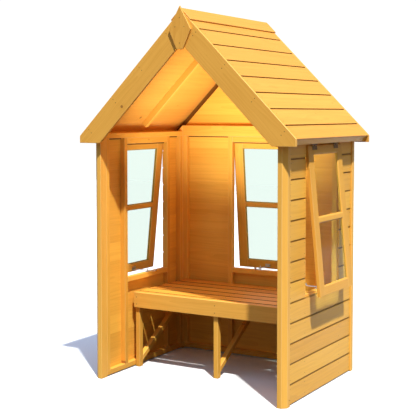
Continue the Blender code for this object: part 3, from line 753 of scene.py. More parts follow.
class Bundle:
    """Gathers sticks into one piece, and marks on each how its grain lies, its tone, its arrises and the
    faces that get painted shade.
    """

    def __init__(self, name: str, nodes: Sequence[str] = (), lift: float = 0.0) -> None:
        """Start a bundle.

        Args:
            name: the piece's name, which also seeds its random draws.
            nodes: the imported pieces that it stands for.
            lift: how much paler than the others its sticks are, as a share of the spread in tone.
        """
        self.name = name
        self.nodes = nodes
        self.lift = lift
        self.draw = random.Random(zlib.crc32(name.encode()))
        self.points: list[np.ndarray] = []
        self.grains: list[np.ndarray] = []
        self.tones: list[np.ndarray] = []
        self.faces: list[list[int]] = []
        self.arrises: list[float] = []
        self.hollows: list[float] = []
        self.count = 0

    @classmethod
    def of(cls, node: str, lift: float = 0.0) -> "Bundle":
        """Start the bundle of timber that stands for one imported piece."""
        return cls(node + "_timber", [node], lift)

    def add(
        self,
        shape: Solid,
        along: Vector,
        across: Vector,
        arrises: Iterable[int] = (),
        hollows: Iterable[int] = (),
    ) -> None:
        """Put a stick in the bundle.

        Args:
            shape: the stick, which is used up.
            along: the way its grain runs.
            across: the way its widest face goes across the grain.
            arrises: the numbers of its softened faces.
            hollows: the numbers of the faces that get painted shade, a near-black colour for shade in
                recesses and gaps.
        """
        softened, grooved = set(arrises), set(hollows)
        shape.verts.index_update()
        shape.faces.index_update()
        points = np.array([vertex.co[:] for vertex in shape.verts])
        along = along.normalized()
        across = (across - along * across.dot(along)).normalized()
        axes = np.array([along[:], across[:], along.cross(across)[:]])
        sawn = [self.draw.uniform(*span) for span in LOG_PLACES]
        drawn = self.draw.uniform(-1.0, 1.0) + self.lift
        middle = (points.min(axis=0) + points.max(axis=0)) / 2.0
        self.grains.append((points - middle) @ axes.T + np.array(sawn))
        self.tones.append(np.full(len(points), drawn))
        for face in shape.faces:
            self.faces.append([vertex.index + self.count for vertex in face.verts])
            self.arrises += [1.0 if face.index in softened else 0.0] * len(face.verts)
            self.hollows += [1.0 if face.index in grooved else 0.0] * len(face.verts)
        self.points.append(points)
        self.count += len(points)
        shape.free()

    def put(
        self,
        shape: Solid,
        along: Vector,
        across: Vector,
        arris: float,
        painted_shade_way: Vector | None = None,
    ) -> None:
        """Soften a stick and put it in the bundle.

        Args:
            shape: the stick, which is used up.
            along: the way its grain runs.
            across: the way its widest face goes across the grain.
            arris: how far its arrises are softened.
            painted_shade_way: which way the face looks that gets painted shade, if there is one.
        """
        softened = soften(shape, arris) if arris else set()
        # Faces looking the given way get painted shade.
        shaded_faces = facing(shape, painted_shade_way) if painted_shade_way is not None else set()
        self.add(shape, along, across, softened, shaded_faces)

    def stick(
        self,
        outline: Iterable[Vector],
        travel: Vector,
        across: Vector,
        arris: float,
        along: Vector | None = None,
        painted_shade_way: Vector | None = None,
    ) -> None:
        """Add a stick of one section, its grain running its length unless it is told otherwise.

        Args:
            outline: the section's corners.
            travel: how far and which way the section is pushed.
            across: the way across its widest face.
            arris: how far its arrises are softened.
            along: the way the grain runs, where it isn't the way it is pushed.
            painted_shade_way: which way the face looks that gets painted shade, if there is one.
        """
        self.put(push(outline, travel), along or travel, across, arris, painted_shade_way)

    def finish(self, coat: Coat, body: str = SHELTER, turn: Matrix | None = None) -> bpy.types.Object:
        """Make the piece, dress it and set it on its body.

        Args:
            coat: its finish.
            body: the body that it rides on.
            turn: where it goes, if it was drawn in a frame of its own.

        Returns:
            The piece.
        """
        mesh = bpy.data.meshes.new(self.name)
        points = np.concatenate(self.points)
        if turn is not None:
            spin = np.array(turn)
            points = points @ spin[:3, :3].T + spin[:3, 3]
        mesh.from_pydata(points.tolist(), [], self.faces)
        self.mark(mesh, "grain", "FLOAT_VECTOR", "POINT", np.concatenate(self.grains))
        self.mark(mesh, "tone", "FLOAT", "POINT", np.concatenate(self.tones))
        self.mark(mesh, "arris", "FLOAT", "CORNER", np.array(self.arrises))
        # The faces that get painted shade.
        self.mark(mesh, "hollow", "FLOAT", "CORNER", np.array(self.hollows))
        mesh.materials.append(coat.material)
        mesh.shade_smooth()
        mesh.set_sharp_from_angle(angle=SHARP_ANGLE)
        piece = bpy.data.objects.new(self.name, mesh)
        bpy.context.scene.collection.objects.link(piece)
        evened = piece.modifiers.new("even_shading", "WEIGHTED_NORMAL")
        evened.keep_sharp = True
        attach(piece, body)
        if self.nodes:
            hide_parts(*self.nodes)
        self.report(points)
        return piece

    @staticmethod
    def mark(mesh: bpy.types.Mesh, name: str, kind: str, domain: str, values: np.ndarray) -> None:
        """Write one attribute.

        Args:
            mesh: the mesh.
            name: the attribute's name.
            kind: its data type.
            domain: what carries it.
            values: its values.
        """
        attribute = mesh.attributes.new(name, kind, domain)
        field_name = "vector" if kind == "FLOAT_VECTOR" else "value"
        attribute.data.foreach_set(field_name, values.astype(np.float32).ravel())

    def report(self, points: np.ndarray) -> None:
        """Log the piece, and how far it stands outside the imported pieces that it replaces.

        Args:
            points: its corners.
        """
        if not self.nodes:
            log.info("%s: %d faces", self.name, len(self.faces))
            return
        corners = [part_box(node) for node in self.nodes]
        low = np.min([corner[0][:] for corner in corners], axis=0) - points.min(axis=0)
        high = points.max(axis=0) - np.max([corner[1][:] for corner in corners], axis=0)
        proud, short = (1000.0 * max((sign * low).max(), (sign * high).max()) for sign in (1.0, -1.0))
        log.info("%s: %d faces, proud %.2f mm, short %.2f mm", self.name, len(self.faces), proud, short)


def dress(piece: bpy.types.Object, material: bpy.types.Material) -> None:
    """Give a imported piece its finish.

    Args:
        piece: the piece.
        material: the finish.
    """
    piece.data.materials.clear()
    piece.data.materials.append(material)
    log.info("%s: dressed with %s", piece.name, material.name)


# Sizes that the sub-assemblies share


@dataclass(frozen=True)
class Wall:
    """One wall: which way it runs and faces, and where its window, frame and boards are.

    Places along it are measured from the arbour's middle, and faces are measured outwards from there.
    """

    name: str
    along: Vector
    out: Vector
    ends: Span
    window: Span
    frame_faces: Span
    frame_top: float
    board_inner: float
    boards: int

    def point(self, along: float, height: float, out: float) -> Vector:
        """A point by its place along the wall, its height and how far out it is."""
        return self.along * along + self.out * out + UP * height


@dataclass(frozen=True)
class Plan:
    """The arbour's main lines, in metres."""

    half_opening: float = 0.585
    half_wall: float = 0.5847
    frame_outer: float = 0.618
    board_inner: float = 0.6183
    board_thickness: float = 0.011
    post_outer: float = 0.637
    front: float = -0.50879
    rear: float = 0.47121
    side_ends: Span = (-0.45049, 0.41291)
    back_inner: float = 0.41921
    back_outer: float = 0.45221
    back_board: float = 0.45251
    ground_gap: float = 0.008
    board_pitch: float = 0.112
    side_boards: int = 13
    frame_top: float = 1.474
    back_frame_top: float = 1.51268
    sill: float = 0.578
    header: float = 1.406
    side_window: Span = (-0.23079, 0.22261)
    back_window: Span = (-0.205, 0.205)
    cut_margin: float = 0.011
    cut_low: float = 0.567
    cut_high: float = 1.424
    fitted_apex: float = 2.09888
    ridge: float = 2.17043
    slope_length: float = 1.00409

    def under_roof(self, x: float) -> float:
        """Height of the roof frame's underside at a distance from the middle."""
        return self.fitted_apex - abs(x)

    def walls(self) -> list[Wall]:
        """The three walls.

        Returns:
            The left, right and back wall, in that order.
        """
        found = []
        for side in Side:
            faces = (self.half_opening, self.frame_outer)
            lines = (self.side_ends, self.side_window, faces, self.frame_top, self.board_inner)
            found.append(Wall(side.word, ALONG_Y, ALONG_X * side.value, *lines, self.side_boards))
        ends, faces = (-self.half_wall, self.half_wall), (self.back_inner, self.back_outer)
        lines = (ends, self.back_window, faces, self.back_frame_top, self.back_board)
        boards = math.ceil((self.fitted_apex - self.ground_gap) / self.board_pitch)
        return [*found, Wall("back", ALONG_X, ALONG_Y, *lines, boards)]


@dataclass
class SubAssembly:
    """What is built and dressed as one, over the arbour's main lines."""

    plan: Plan
    finishes: Finishes


@dataclass
class Posts(SubAssembly):
    """The four corner posts, each with its outer front or rear arris planed off."""

    depth: float = 0.058
    chamfer: float = 0.025
    arris: float = 0.0022
    lift: float = 1.5

    def build(self) -> None:
        """Build and dress the posts."""
        for side in Side:
            for end in End:
                self.post(side, end)

    def post(self, side: Side, end: End) -> None:
        """Build one post, its top cut to the slope of the roof.

        Args:
            side: which side it is on.
            end: which end it is at.
        """
        plan = self.plan
        face = plan.front if end is End.FRONT else plan.rear
        inwards = -end.value
        outline = [
            (plan.half_opening, face),
            (plan.post_outer - self.chamfer, face),
            (plan.post_outer, face + inwards * self.chamfer),
            (plan.post_outer, face + inwards * self.depth),
            (plan.half_opening, face + inwards * self.depth),
        ]
        shape = push((Vector((side.value * x, y, 0.0)) for x, y in outline), UP * plan.ridge)
        for vertex in shape.verts:
            vertex.co.z = min(vertex.co.z, plan.under_roof(vertex.co.x))
        bundle = Bundle.of(f"{end.word}_{side.word}_post", self.lift)
        bundle.put(shape, UP, ALONG_Y, self.arris)
        bundle.finish(self.finishes.planed)


@dataclass
class Shiplap:
    """The section of a lapped board: a coved upper edge that the next board's lip comes down over."""

    thickness: float
    cove_height: float = 0.010
    cove_depth: float = 0.0070
    lap: float = 0.010
    tongue: float = 0.0030
    eased: float = 0.0009
    cove_steps: int = 5

    def section(self, low: float, high: float, first: bool, last: bool) -> list[Span]:
        """The section of one board.

        Args:
            low: where its lip ends.
            high: where the next board's lip ends.
            first: whether its lower edge is square.
            last: whether its upper edge is square.

        Returns:
            Corners as (up the wall, depth from the back).
        """
        face = self.thickness
        if first:
            corners = [(low, 0.0)]
        else:
            corners = [(low + self.lap, 0.0), (low + self.lap, self.tongue + FIT), (low, self.tongue + FIT)]
        corners += [(low, face - self.eased), (low + self.eased, face)]
        if last:
            return corners + [(high - self.eased, face), (high, face - self.eased), (high, 0.0)]
        for step in range(self.cove_steps + 1):
            turn = math.pi / 2 * step / self.cove_steps
            up = high - FIT - self.cove_height * math.cos(turn)
            corners.append((up, face - self.cove_depth * math.sin(turn)))
        tip = high + self.lap - FIT
        return corners + [(high - FIT, self.tongue), (tip, self.tongue), (tip, 0.0)]

    def coved_faces(self, shape: Solid, up: Vector, out: Vector) -> set[int]:
        """The numbers of the faces in a board's cove, which look up and out at once.

        Args:
            shape: the board.
            up: the way up the wall or the slope.
            out: the way the boards face.

        Returns:
            The faces' numbers.
        """
        eased = self.eased_faces(shape)
        shape.normal_update()
        tilt = 0.05
        up, out = up.normalized(), out.normalized()
        coved = {f.index for f in shape.faces if f.normal.dot(up) > tilt and f.normal.dot(out) > tilt}
        return coved - eased

    def eased_faces(self, shape: Solid) -> set[int]:
        """The numbers of the narrow faces that ease a board's arrises.

        Args:
            shape: the board.

        Returns:
            The faces' numbers.
        """
        shape.faces.index_update()
        narrow = 2.0 * self.eased
        found = set()
        for face in shape.faces:
            if face.calc_area() < narrow * max(edge.calc_length() for edge in face.edges):
                found.add(face.index)
        return found


@dataclass
class WallFrames(SubAssembly):
    """The battens inside the boards of the three walls, and those behind the gable's boards."""

    batten: float = 0.031
    # Painted shade: how deep and high the strips under the rails are, their inward faces near-black.
    seam: float = 0.0080
    seam_arris: float = 0.0006
    gable_rail: float = 0.038
    gable_faces: Span = (0.46381, 0.49021)
    arris: float = 0.0018

    def build(self) -> None:
        """Build and dress the frames."""
        for wall in self.plan.walls():
            self.wall(wall)
        self.gable()

    def wall(self, wall: Wall) -> None:
        """Build one wall's frame, with a thin strip against the boards under its upper rails and the
        window's header, whose inward face gets painted shade for the dark line under them.

        Args:
            wall: which wall.
        """
        plan, width = self.plan, self.batten
        bundle = Bundle.of(f"{wall.name}_wall_frame")
        bottom = plan.ground_gap + width
        top = plan.frame_top - width
        (start, end), (left, right), (inner, outer) = wall.ends, wall.window, wall.frame_faces
        rails = [
            (start, end, plan.ground_gap, bottom),
            (start, end, top, wall.frame_top),
            (left + FIT, right - FIT, plan.sill - width, plan.sill),
            (left + FIT, right - FIT, plan.header, top - FIT),
        ]
        for near, far, low, high in rails:
            shape = block(wall.point(near, low, inner), wall.point(far, high, outer))
            bundle.put(shape, wall.along, UP, self.arris)
        for near in (start, left - width, right, end - width):
            corner = wall.point(near, bottom + FIT, inner)
            shape = block(corner, wall.point(near + width, top - FIT, outer))
            bundle.put(shape, UP, wall.along, self.arris)
        # Painted shade: thin strips against the boards under the rails and the header, their inward faces
        # near-black.
        painted_shade_strips = [
            (start + width + FIT, left - width - FIT, top),
            (right + width + FIT, end - width - FIT, top),
            (left + FIT, right - FIT, plan.header),
        ]
        for near, far, under in painted_shade_strips:
            corner = wall.point(near, under - self.seam, outer)
            shape = block(corner, wall.point(far, under - FIT, outer - self.seam))
            bundle.put(shape, wall.along, UP, self.seam_arris, -wall.out)
        bundle.finish(self.finishes.framing)

    def gable(self) -> None:
        """Build the two raking rails behind the gable's boards, meeting in a plumb cut."""
        plan = self.plan
        bundle = Bundle.of("gable_frame")
        near, far = self.gable_faces
        drop = self.gable_rail * math.sqrt(2.0)
        for side in Side:
            corners = []
            for x, below in ((FIT / 2, 0.0), (plan.half_wall, 0.0), (plan.half_wall, drop), (FIT / 2, drop)):
                corners.append(Vector((side.value * x, near, plan.under_roof(x) - below)))
            bundle.stick(corners, ALONG_Y * (far - near), side.off_slope, self.arris, side.down_slope)
        bundle.finish(self.finishes.framing)


@dataclass
class Cladding(SubAssembly):
    """The lapped boards of the three walls, the back wall's running up into its gable."""

    cutter_reach: float = 0.05

    def build(self) -> None:
        """Build and dress the boards."""
        for wall in self.plan.walls():
            self.wall(wall)

    def wall(self, wall: Wall) -> None:
        """Board one wall.

        Args:
            wall: which wall.
        """
        plan = self.plan
        lap = Shiplap(plan.board_thickness)
        start, end = wall.ends
        opening = (wall.window[0] - plan.cut_margin, wall.window[1] + plan.cut_margin)
        bundle = Bundle.of(f"{wall.name}_cladding")
        for number in range(wall.boards):
            low = plan.ground_gap + number * plan.board_pitch
            high = low + plan.board_pitch
            section = lap.section(low, high, number == 0, number == wall.boards - 1)
            whole = high + lap.lap <= plan.cut_low or low >= plan.cut_high
            notched = not whole and (low < plan.cut_low or high > plan.cut_high)
            lengths = [(start, end)] if whole or notched else [(start, opening[0]), (opening[1], end)]
            for length in lengths:
                shape = push(
                    (wall.point(length[0], up, wall.board_inner + depth) for up, depth in section),
                    wall.along * (length[1] - length[0]),
                )
                if notched:
                    shape = self.cut(shape, wall, self.window_outline(opening), "DIFFERENCE")
                if high > plan.under_roof(plan.half_wall):
                    shape = self.cut(shape, wall, self.gable_outline(), "INTERSECT")
                # Painted shade: the faces of each cove are darkened, for the shade under the next board's
                # lip.
                eased, coved = lap.eased_faces(shape), lap.coved_faces(shape, UP, wall.out)
                bundle.add(shape, wall.along, UP, eased, coved)
        bundle.finish(self.finishes.cladding)

    def window_outline(self, opening: Span) -> Outline:
        """The outline of the window's cut-out.

        Args:
            opening: where the cut-out starts and ends.

        Returns:
            Corners as (along the wall, height).
        """
        (left, right), low, high = opening, self.plan.cut_low, self.plan.cut_high
        return [(left, low), (right, low), (right, high), (left, high)]

    def gable_outline(self) -> Outline:
        """The outline that the gable's boards are cut to.

        Returns:
            Corners as (along the wall, height).
        """
        half, apex = self.plan.half_wall, self.plan.fitted_apex
        shoulder = self.plan.under_roof(half)
        return [(-half, 0.0), (half, 0.0), (half, shoulder), (0.0, apex), (-half, shoulder)]

    def cut(self, shape: Solid, wall: Wall, outline: Outline, operation: str) -> Solid:
        """Cut a board with an outline that is pushed right through the wall.

        Args:
            shape: the board, which is used up.
            wall: which wall it is on.
            outline: corners as (along the wall, height).
            operation: DIFFERENCE or INTERSECT.

        Returns:
            What is left of the board.
        """
        near = wall.board_inner - self.cutter_reach
        corners = (wall.point(along, height, near) for along, height in outline)
        return carve(shape, push(corners, wall.out * 2.0 * self.cutter_reach), operation)


@dataclass(frozen=True)
class Slope:
    """One slope of the roof."""

    side: Side
    ridge: float

    def point(self, down: float, depth: float, y: float) -> Vector:
        """A point of the slope, which stops just short of the arbour's middle.

        Args:
            down: how far down the slope it is.
            depth: how far it is below the boards' top.
            y: its place from front to rear.

        Returns:
            The point.
        """
        down = max(down, FIT / 2 / DIAGONAL + depth)
        x = (down - depth) * DIAGONAL
        return Vector((self.side.value * x, y, self.ridge - (down + depth) * DIAGONAL))


@dataclass
class Roof(SubAssembly):
    """Two slopes of lapped boards on rafters and battens, with a capping over the ridge."""

    board_thickness: float = 0.012
    frame_depth: float = 0.038
    eave_board: float = 0.1047
    board_pitch: float = 0.125
    front: float = -0.52779
    rear: float = 0.49021
    front_rafter: float = 0.045
    middle_rafter: Span = (-0.01879, 0.00921)
    middle_rafter_foot: float = 0.88961
    rear_rafter: float = 0.014
    batten: float = 0.045
    capping_thickness: float = 0.008
    capping_width: float = 0.085
    capping_ends: Span = (-0.54609, 0.50851)
    arris: float = 0.0015

    def build(self) -> None:
        """Build and dress both slopes."""
        for side in Side:
            slope = Slope(side, self.plan.ridge)
            self.boards(slope)
            self.frame(slope)
            self.capping(slope)

    def joints(self) -> list[float]:
        """Where the boards meet.

        Returns:
            Distances up the slope from the eave, with both ends of the slope.
        """
        found = [0.0, self.eave_board]
        while found[-1] + self.board_pitch < self.plan.slope_length:
            found.append(found[-1] + self.board_pitch)
        return [*found, self.plan.slope_length]

    def boards(self, slope: Slope) -> None:
        """Lay one slope's boards.

        Args:
            slope: which slope.
        """
        side, length = slope.side, self.plan.slope_length
        lap = Shiplap(self.board_thickness)
        joints = self.joints()
        travel = ALONG_Y * (self.rear - self.front)
        bundle = Bundle.of(f"{side.word}_roof_boards")
        for number, (low, high) in enumerate(zip(joints, joints[1:])):
            section = lap.section(low, high, number == 0, high == length)
            places = ((length - up, self.board_thickness - out) for up, out in section)
            shape = push((slope.point(down, depth, self.front) for down, depth in places), travel)
            # Painted shade: the faces of each cove are darkened, for the shade under the next board's lip.
            coved = lap.coved_faces(shape, -side.down_slope, side.off_slope)
            bundle.add(shape, ALONG_Y, side.down_slope, lap.eased_faces(shape), coved)
        bundle.finish(self.finishes.roof)

    def frame(self, slope: Slope) -> None:
        """Build one slope's rafters and battens.

        Args:
            slope: which slope.
        """
        eave = self.plan.slope_length
        upper = self.board_thickness + FIT + self.frame_depth + self.batten
        near, far = self.front + self.front_rafter, self.rear - self.rear_rafter
        bundle = Bundle.of(f"{slope.side.word}_roof_frame")
        self.member(bundle, slope, (0.0, eave), (self.front, near), True)
        # Painted shade: the rear rafter's front face is darkened, for the dark slot above the gable's
        # boards.
        self.member(bundle, slope, (0.0, eave), (far, self.rear), True, -ALONG_Y)
        self.member(bundle, slope, (upper + FIT, self.middle_rafter_foot), self.middle_rafter, True)
        for reach in ((0.0, upper), (eave - self.batten, eave)):
            self.member(bundle, slope, reach, (near + FIT, far - FIT), False)
        bundle.finish(self.finishes.framing)

    def member(
        self,
        bundle: Bundle,
        slope: Slope,
        reach: Span,
        faces: Span,
        is_rafter: bool,
        painted_shade_way: Vector | None = None,
    ) -> None:
        """Add one rafter or batten.

        Args:
            bundle: what it goes into.
            slope: which slope it is on.
            reach: where it starts and ends down the slope.
            faces: its front and rear.
            is_rafter: whether its grain runs down the slope.
            painted_shade_way: which way the face looks that gets painted shade, if there is one.
        """
        (start, end), (near, far) = reach, faces
        top = self.board_thickness + FIT
        bottom = top + self.frame_depth
        places = ((start, top), (end, top), (end, bottom), (start, bottom))
        corners = [slope.point(down, depth, near) for down, depth in places]
        along, across = slope.side.down_slope, ALONG_Y
        if not is_rafter:
            along, across = across, along
        bundle.stick(corners, ALONG_Y * (far - near), across, self.arris, along, painted_shade_way)

    def capping(self, slope: Slope) -> None:
        """Lay one half of the ridge capping.

        Args:
            slope: which slope.
        """
        start, end = self.capping_ends
        low, high = -FIT, -FIT - self.capping_thickness
        over_ridge, width = -1.0, self.capping_width
        places = ((over_ridge, low), (width, low), (width, high), (over_ridge, high))
        corners = [slope.point(down, depth, start) for down, depth in places]
        bundle = Bundle.of(f"{slope.side.word}_ridge_capping")
        bundle.stick(corners, ALONG_Y * (end - start), slope.side.down_slope, self.arris)
        bundle.finish(self.finishes.roof)


@dataclass
class Gables(SubAssembly):
    """The bargeboards of both gables, and the lozenge that covers the joint of the front pair."""

    tail: float = 0.710
    width: float = 0.132
    foot: float = 0.0425
    front_faces: Span = (-0.54609, -0.52809)
    rear_faces: Span = (0.49051, 0.50851)
    finial_faces: Span = (-0.55939, -0.54639)
    finial_top: float = 2.19243
    finial_corner: float = 2.06043
    finial_bottom: float = 1.95043
    finial_half_width: float = 0.072
    finial_tip: float = 0.020
    arris: float = 0.0022

    def build(self) -> None:
        """Build and dress the bargeboards and the finial."""
        for side in Side:
            self.bargeboard(side, End.FRONT, self.front_faces)
            self.bargeboard(side, End.REAR, self.rear_faces)
        self.finial()

    def bargeboard(self, side: Side, end: End, faces: Span) -> None:
        """Build one bargeboard, its top plumb cut at the middle and its tail cut square to the ground.

        Args:
            side: which slope it follows.
            end: which gable it is on.
            faces: its two faces.
        """
        ridge, middle = self.plan.ridge, FIT / 2
        tail_top = ridge - self.tail
        tail_bottom = tail_top - self.foot
        lower_apex = ridge - self.width * math.sqrt(2.0)
        outline = [
            (middle, ridge - middle),
            (self.tail, tail_top),
            (self.tail, tail_bottom),
            (lower_apex - tail_bottom, tail_bottom),
            (middle, lower_apex - middle),
        ]
        corners = [Vector((side.value * x, faces[0], z)) for x, z in outline]
        travel = ALONG_Y * (faces[1] - faces[0])
        bundle = Bundle.of(f"{end.word}_{side.word}_bargeboard")
        bundle.stick(corners, travel, side.off_slope, self.arris, side.down_slope)
        bundle.finish(self.finishes.planed)

    def finial(self) -> None:
        """Build the lozenge."""
        half, tip = self.finial_half_width, self.finial_tip
        outline = [
            (0.0, self.finial_top),
            (half, self.finial_corner),
            (tip, self.finial_bottom),
            (-tip, self.finial_bottom),
            (-half, self.finial_corner),
        ]
        near, far = self.finial_faces
        corners = [Vector((x, near, z)) for x, z in outline]
        bundle = Bundle.of("gable_finial")
        bundle.stick(corners, ALONG_Y * (far - near), ALONG_X, self.arris, UP)
        bundle.finish(self.finishes.planed)


@dataclass
class Window(SubAssembly):
    """One top-hung window: sash, pane, hinges, stay and peg, standing a little open.

    Its own frame has the hinge's axis at the origin, X outwards and Z up the sash.
    """

    name: str
    opening: float
    origin: Vector
    turn: float
    hinge_out: float = 0.0243
    hinge_height: float = 1.4195
    rest_angle: float = math.radians(5.6)
    overlap: float = 0.008
    inner: float = -0.0238
    outer: float = -0.0038
    bottom: float = -0.8495
    top: float = -0.0055
    stile: float = 0.064
    top_rail: float = 0.046
    bottom_rail: float = 0.052
    bar: float = 0.028
    glass: float = 0.004
    groove: float = 0.0063
    bead: float = 0.0055
    bead_steps: int = 3
    arris: float = 0.0018

    def build(self) -> None:
        """Build and dress the window."""
        self.sash()
        self.beads()
        self.fittings()

    def hung(self) -> Matrix:
        """Where the sash hangs.

        Returns:
            What turns a point of the sash's own frame into a point of the arbour.
        """
        window = Matrix.Translation(self.origin) @ Matrix.Rotation(self.turn, 4, "Z")
        hinge = Matrix.Translation((self.hinge_out, 0.0, self.hinge_height))
        return window @ hinge @ Matrix.Rotation(-self.rest_angle, 4, "Y")

    def hang(self, bundle: Bundle) -> None:
        """Dress a bundle and hang it on the sash's body."""
        bundle.finish(self.finishes.sash, f"{self.name}_sash_body", self.hung())

    @property
    def half_width(self) -> float:
        """Half the sash's width."""
        return self.opening / 2 + self.overlap

    @property
    def rebate(self) -> Span:
        """The two faces of the groove that the pane stands in."""
        middle, room = (self.inner + self.outer) / 2, self.glass / 2 + FIT
        return middle - room, middle + room

    @property
    def bar_edges(self) -> Span:
        """The glazing bar's lower and upper edge."""
        middle = (self.bottom + self.bottom_rail + self.top - self.top_rail) / 2
        return middle - self.bar / 2, middle + self.bar / 2

    def grooved(self, low: float, high: float, groove_at_high: bool) -> list[Span]:
        """The section of a sash member, with the groove for the pane along one edge.

        Args:
            low: the member's lower edge.
            high: its upper edge.
            groove_at_high: whether the groove is along the upper edge.

        Returns:
            Corners as (out, along the width).
        """
        near, far = self.rebate
        edge, back, depth = (high, low, -self.groove) if groove_at_high else (low, high, self.groove)
        return [
            (self.inner, back),
            (self.outer, back),
            (self.outer, edge),
            (far, edge),
            (far, edge + depth),
            (near, edge + depth),
            (near, edge),
            (self.inner, edge),
        ]

    def sash(self) -> None:
        """Build the sash: two stiles, the rails between them and the glazing bar."""
        half = self.half_width
        inner_edge = half - self.stile
        bundle = Bundle.of(f"{self.name}_sash")
        for sign in (-1.0, 1.0):
            section = self.grooved(inner_edge, half, False)
            corners = [Vector((out, sign * along, self.bottom)) for out, along in section]
            bundle.stick(corners, UP * (self.top - self.bottom), ALONG_Y, self.arris)
        low, high = self.bar_edges
        near, far = self.rebate
        sections = [
            self.grooved(self.bottom, self.bottom + self.bottom_rail, True),
            self.grooved(self.top - self.top_rail, self.top, False),
            [(self.inner, low), (near, low), (near, high), (self.inner, high)],
            [(far, low), (self.outer, low), (self.outer, high), (far, high)],
        ]
        for section in sections:
            corners = [Vector((out, FIT - inner_edge, up)) for out, up in section]
            bundle.stick(corners, ALONG_Y * 2.0 * (inner_edge - FIT), UP, self.arris)
        self.hang(bundle)

    def beads(self) -> None:
        """Build the quarter-round beads that hold the panes in from outside."""
        bundle = Bundle(f"{self.name}_sash_beads")
        face = self.rebate[1]
        edge = self.half_width - self.stile - FIT
        bar_low, bar_high = self.bar_edges
        rail_top, rail_bottom = self.bottom + self.bottom_rail, self.top - self.top_rail
        turns = [math.pi / 2 * step / self.bead_steps for step in range(self.bead_steps + 1)]
        arc = [(0.0, 0.0)] + [(self.bead * math.cos(turn), self.bead * math.sin(turn)) for turn in turns]
        inset = self.bead + FIT
        for low, high in ((rail_top + FIT, bar_low - FIT), (bar_high + FIT, rail_bottom - FIT)):
            for level, sign in ((low, 1.0), (high, -1.0)):
                corners = [Vector((face + out, -edge, level + sign * up)) for out, up in arc]
                bundle.stick(corners, ALONG_Y * 2.0 * edge, UP, 0.0)
            for sign in (-1.0, 1.0):
                corners = [Vector((face + out, sign * (edge - up), low + inset)) for out, up in arc]
                bundle.stick(corners, UP * (high - low - 2.0 * inset), ALONG_Y, 0.0)
        self.hang(bundle)

    def fittings(self) -> None:
        """Dress the pane and the metalwork that the model already has."""
        nodes = frame["nodes"]
        for number in (1, 2):
            for leaf in ("frame", "sash"):
                dress(nodes[f"{self.name}_hinge_{number}_{leaf}_leaf"], self.finishes.browned_zinc.material)
        for part in ("stay_bracket", "stay", "stay_peg"):
            dress(nodes[f"{self.name}_{part}"], self.finishes.zinc.material)
        dress(nodes[f"{self.name}_glass"], self.finishes.pane)


@dataclass
class Bench(SubAssembly):
    """The bench: a fascia, six seat boards, a rail on the back wall and three braced supports."""

    fascia: Span = (-0.16879, -0.15479)
    fascia_low: float = 0.3780
    seat_top: float = 0.4745
    seat_board: float = 0.015
    pitch: float = 0.107
    gap: float = 0.011
    boards_front: float = -0.15449
    boards_rear: float = 0.41771
    bearer: Span = (0.4282, 0.4592)
    leg_rear: float = -0.11849
    support_rear: float = 0.38691
    back_rail: Span = (0.38721, 0.41891)
    back_rail_low: float = 0.3402
    brace_heights: Span = (0.052, 0.364)
    brace_width: float = 0.030
    support: float = 0.030
    support_middles: Triple = (-0.565, 0.0, 0.565)
    arris: float = 0.0022

    def build(self) -> None:
        """Build and dress the bench."""
        finishes, rail_top = self.finishes, self.bearer[1]
        self.board("seat_fascia", self.fascia, (self.fascia_low, self.seat_top), UP, finishes.planed)
        self.board("seat_back_rail", self.back_rail, (self.back_rail_low, rail_top), UP, finishes.framing)
        edges = []
        rear = self.boards_rear
        while rear - self.pitch > self.boards_front:
            edges.append((rear - self.pitch + self.gap, rear))
            rear -= self.pitch
        edges.append((self.boards_front, rear))
        heights = (self.seat_top - self.seat_board, self.seat_top)
        for number, faces in enumerate(reversed(edges), 1):
            # Painted shade: from the second board on, each board's front edge is darkened, for the shade in
            # the gap between boards.
            painted_shade_way = -ALONG_Y if number > 1 else None
            self.board(f"seat_board_{number}", faces, heights, ALONG_Y, finishes.seat, painted_shade_way)
        for word, middle in zip(("left", "centre", "right"), self.support_middles):
            self.support_frame(f"{word}_seat_support", middle)

    def board(
        self,
        node: str,
        faces: Span,
        heights: Span,
        across: Vector,
        coat: Coat,
        painted_shade_way: Vector | None = None,
    ) -> None:
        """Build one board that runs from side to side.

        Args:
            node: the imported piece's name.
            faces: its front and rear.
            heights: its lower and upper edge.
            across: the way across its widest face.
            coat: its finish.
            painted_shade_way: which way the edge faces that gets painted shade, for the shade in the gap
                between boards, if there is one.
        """
        half = self.plan.half_wall
        shape = block((-half, faces[0], heights[0]), (half, faces[1], heights[1]))
        bundle = Bundle.of(node)
        bundle.put(shape, ALONG_X, across, self.arris, painted_shade_way)
        bundle.finish(coat)

    def support_frame(self, node: str, middle: float) -> None:
        """Build one support: a leg, a bearer on top of it and a raking brace between them.

        Args:
            node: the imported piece's name.
            middle: the middle of its thickness.
        """
        low, high = self.bearer
        front, knee, rear = self.boards_front, self.leg_rear, self.support_rear
        foot, head = self.brace_heights
        slope = (head - foot) / (rear - knee)
        half = self.brace_width / 2 * math.hypot(1.0, slope)
        leg = [(front, 0.0), (knee, 0.0), (knee, low - FIT), (front, low - FIT)]
        bearer = [(front, low), (rear, low), (rear, high), (front, high)]
        near = knee + FIT
        brace = [(near, foot - half), (rear, head - half), (rear, head + half), (near, foot + half)]
        members = [
            (leg, UP, ALONG_Y),
            (bearer, ALONG_Y, UP),
            (brace, Vector((0.0, 1.0, slope)), Vector((0.0, -slope, 1.0))),
        ]
        bundle = Bundle.of(node)
        for outline, along, across in members:
            corners = [Vector((middle - self.support / 2, y, z)) for y, z in outline]
            bundle.stick(corners, ALONG_X * self.support, across, self.arris, along)
        bundle.finish(self.finishes.framing)


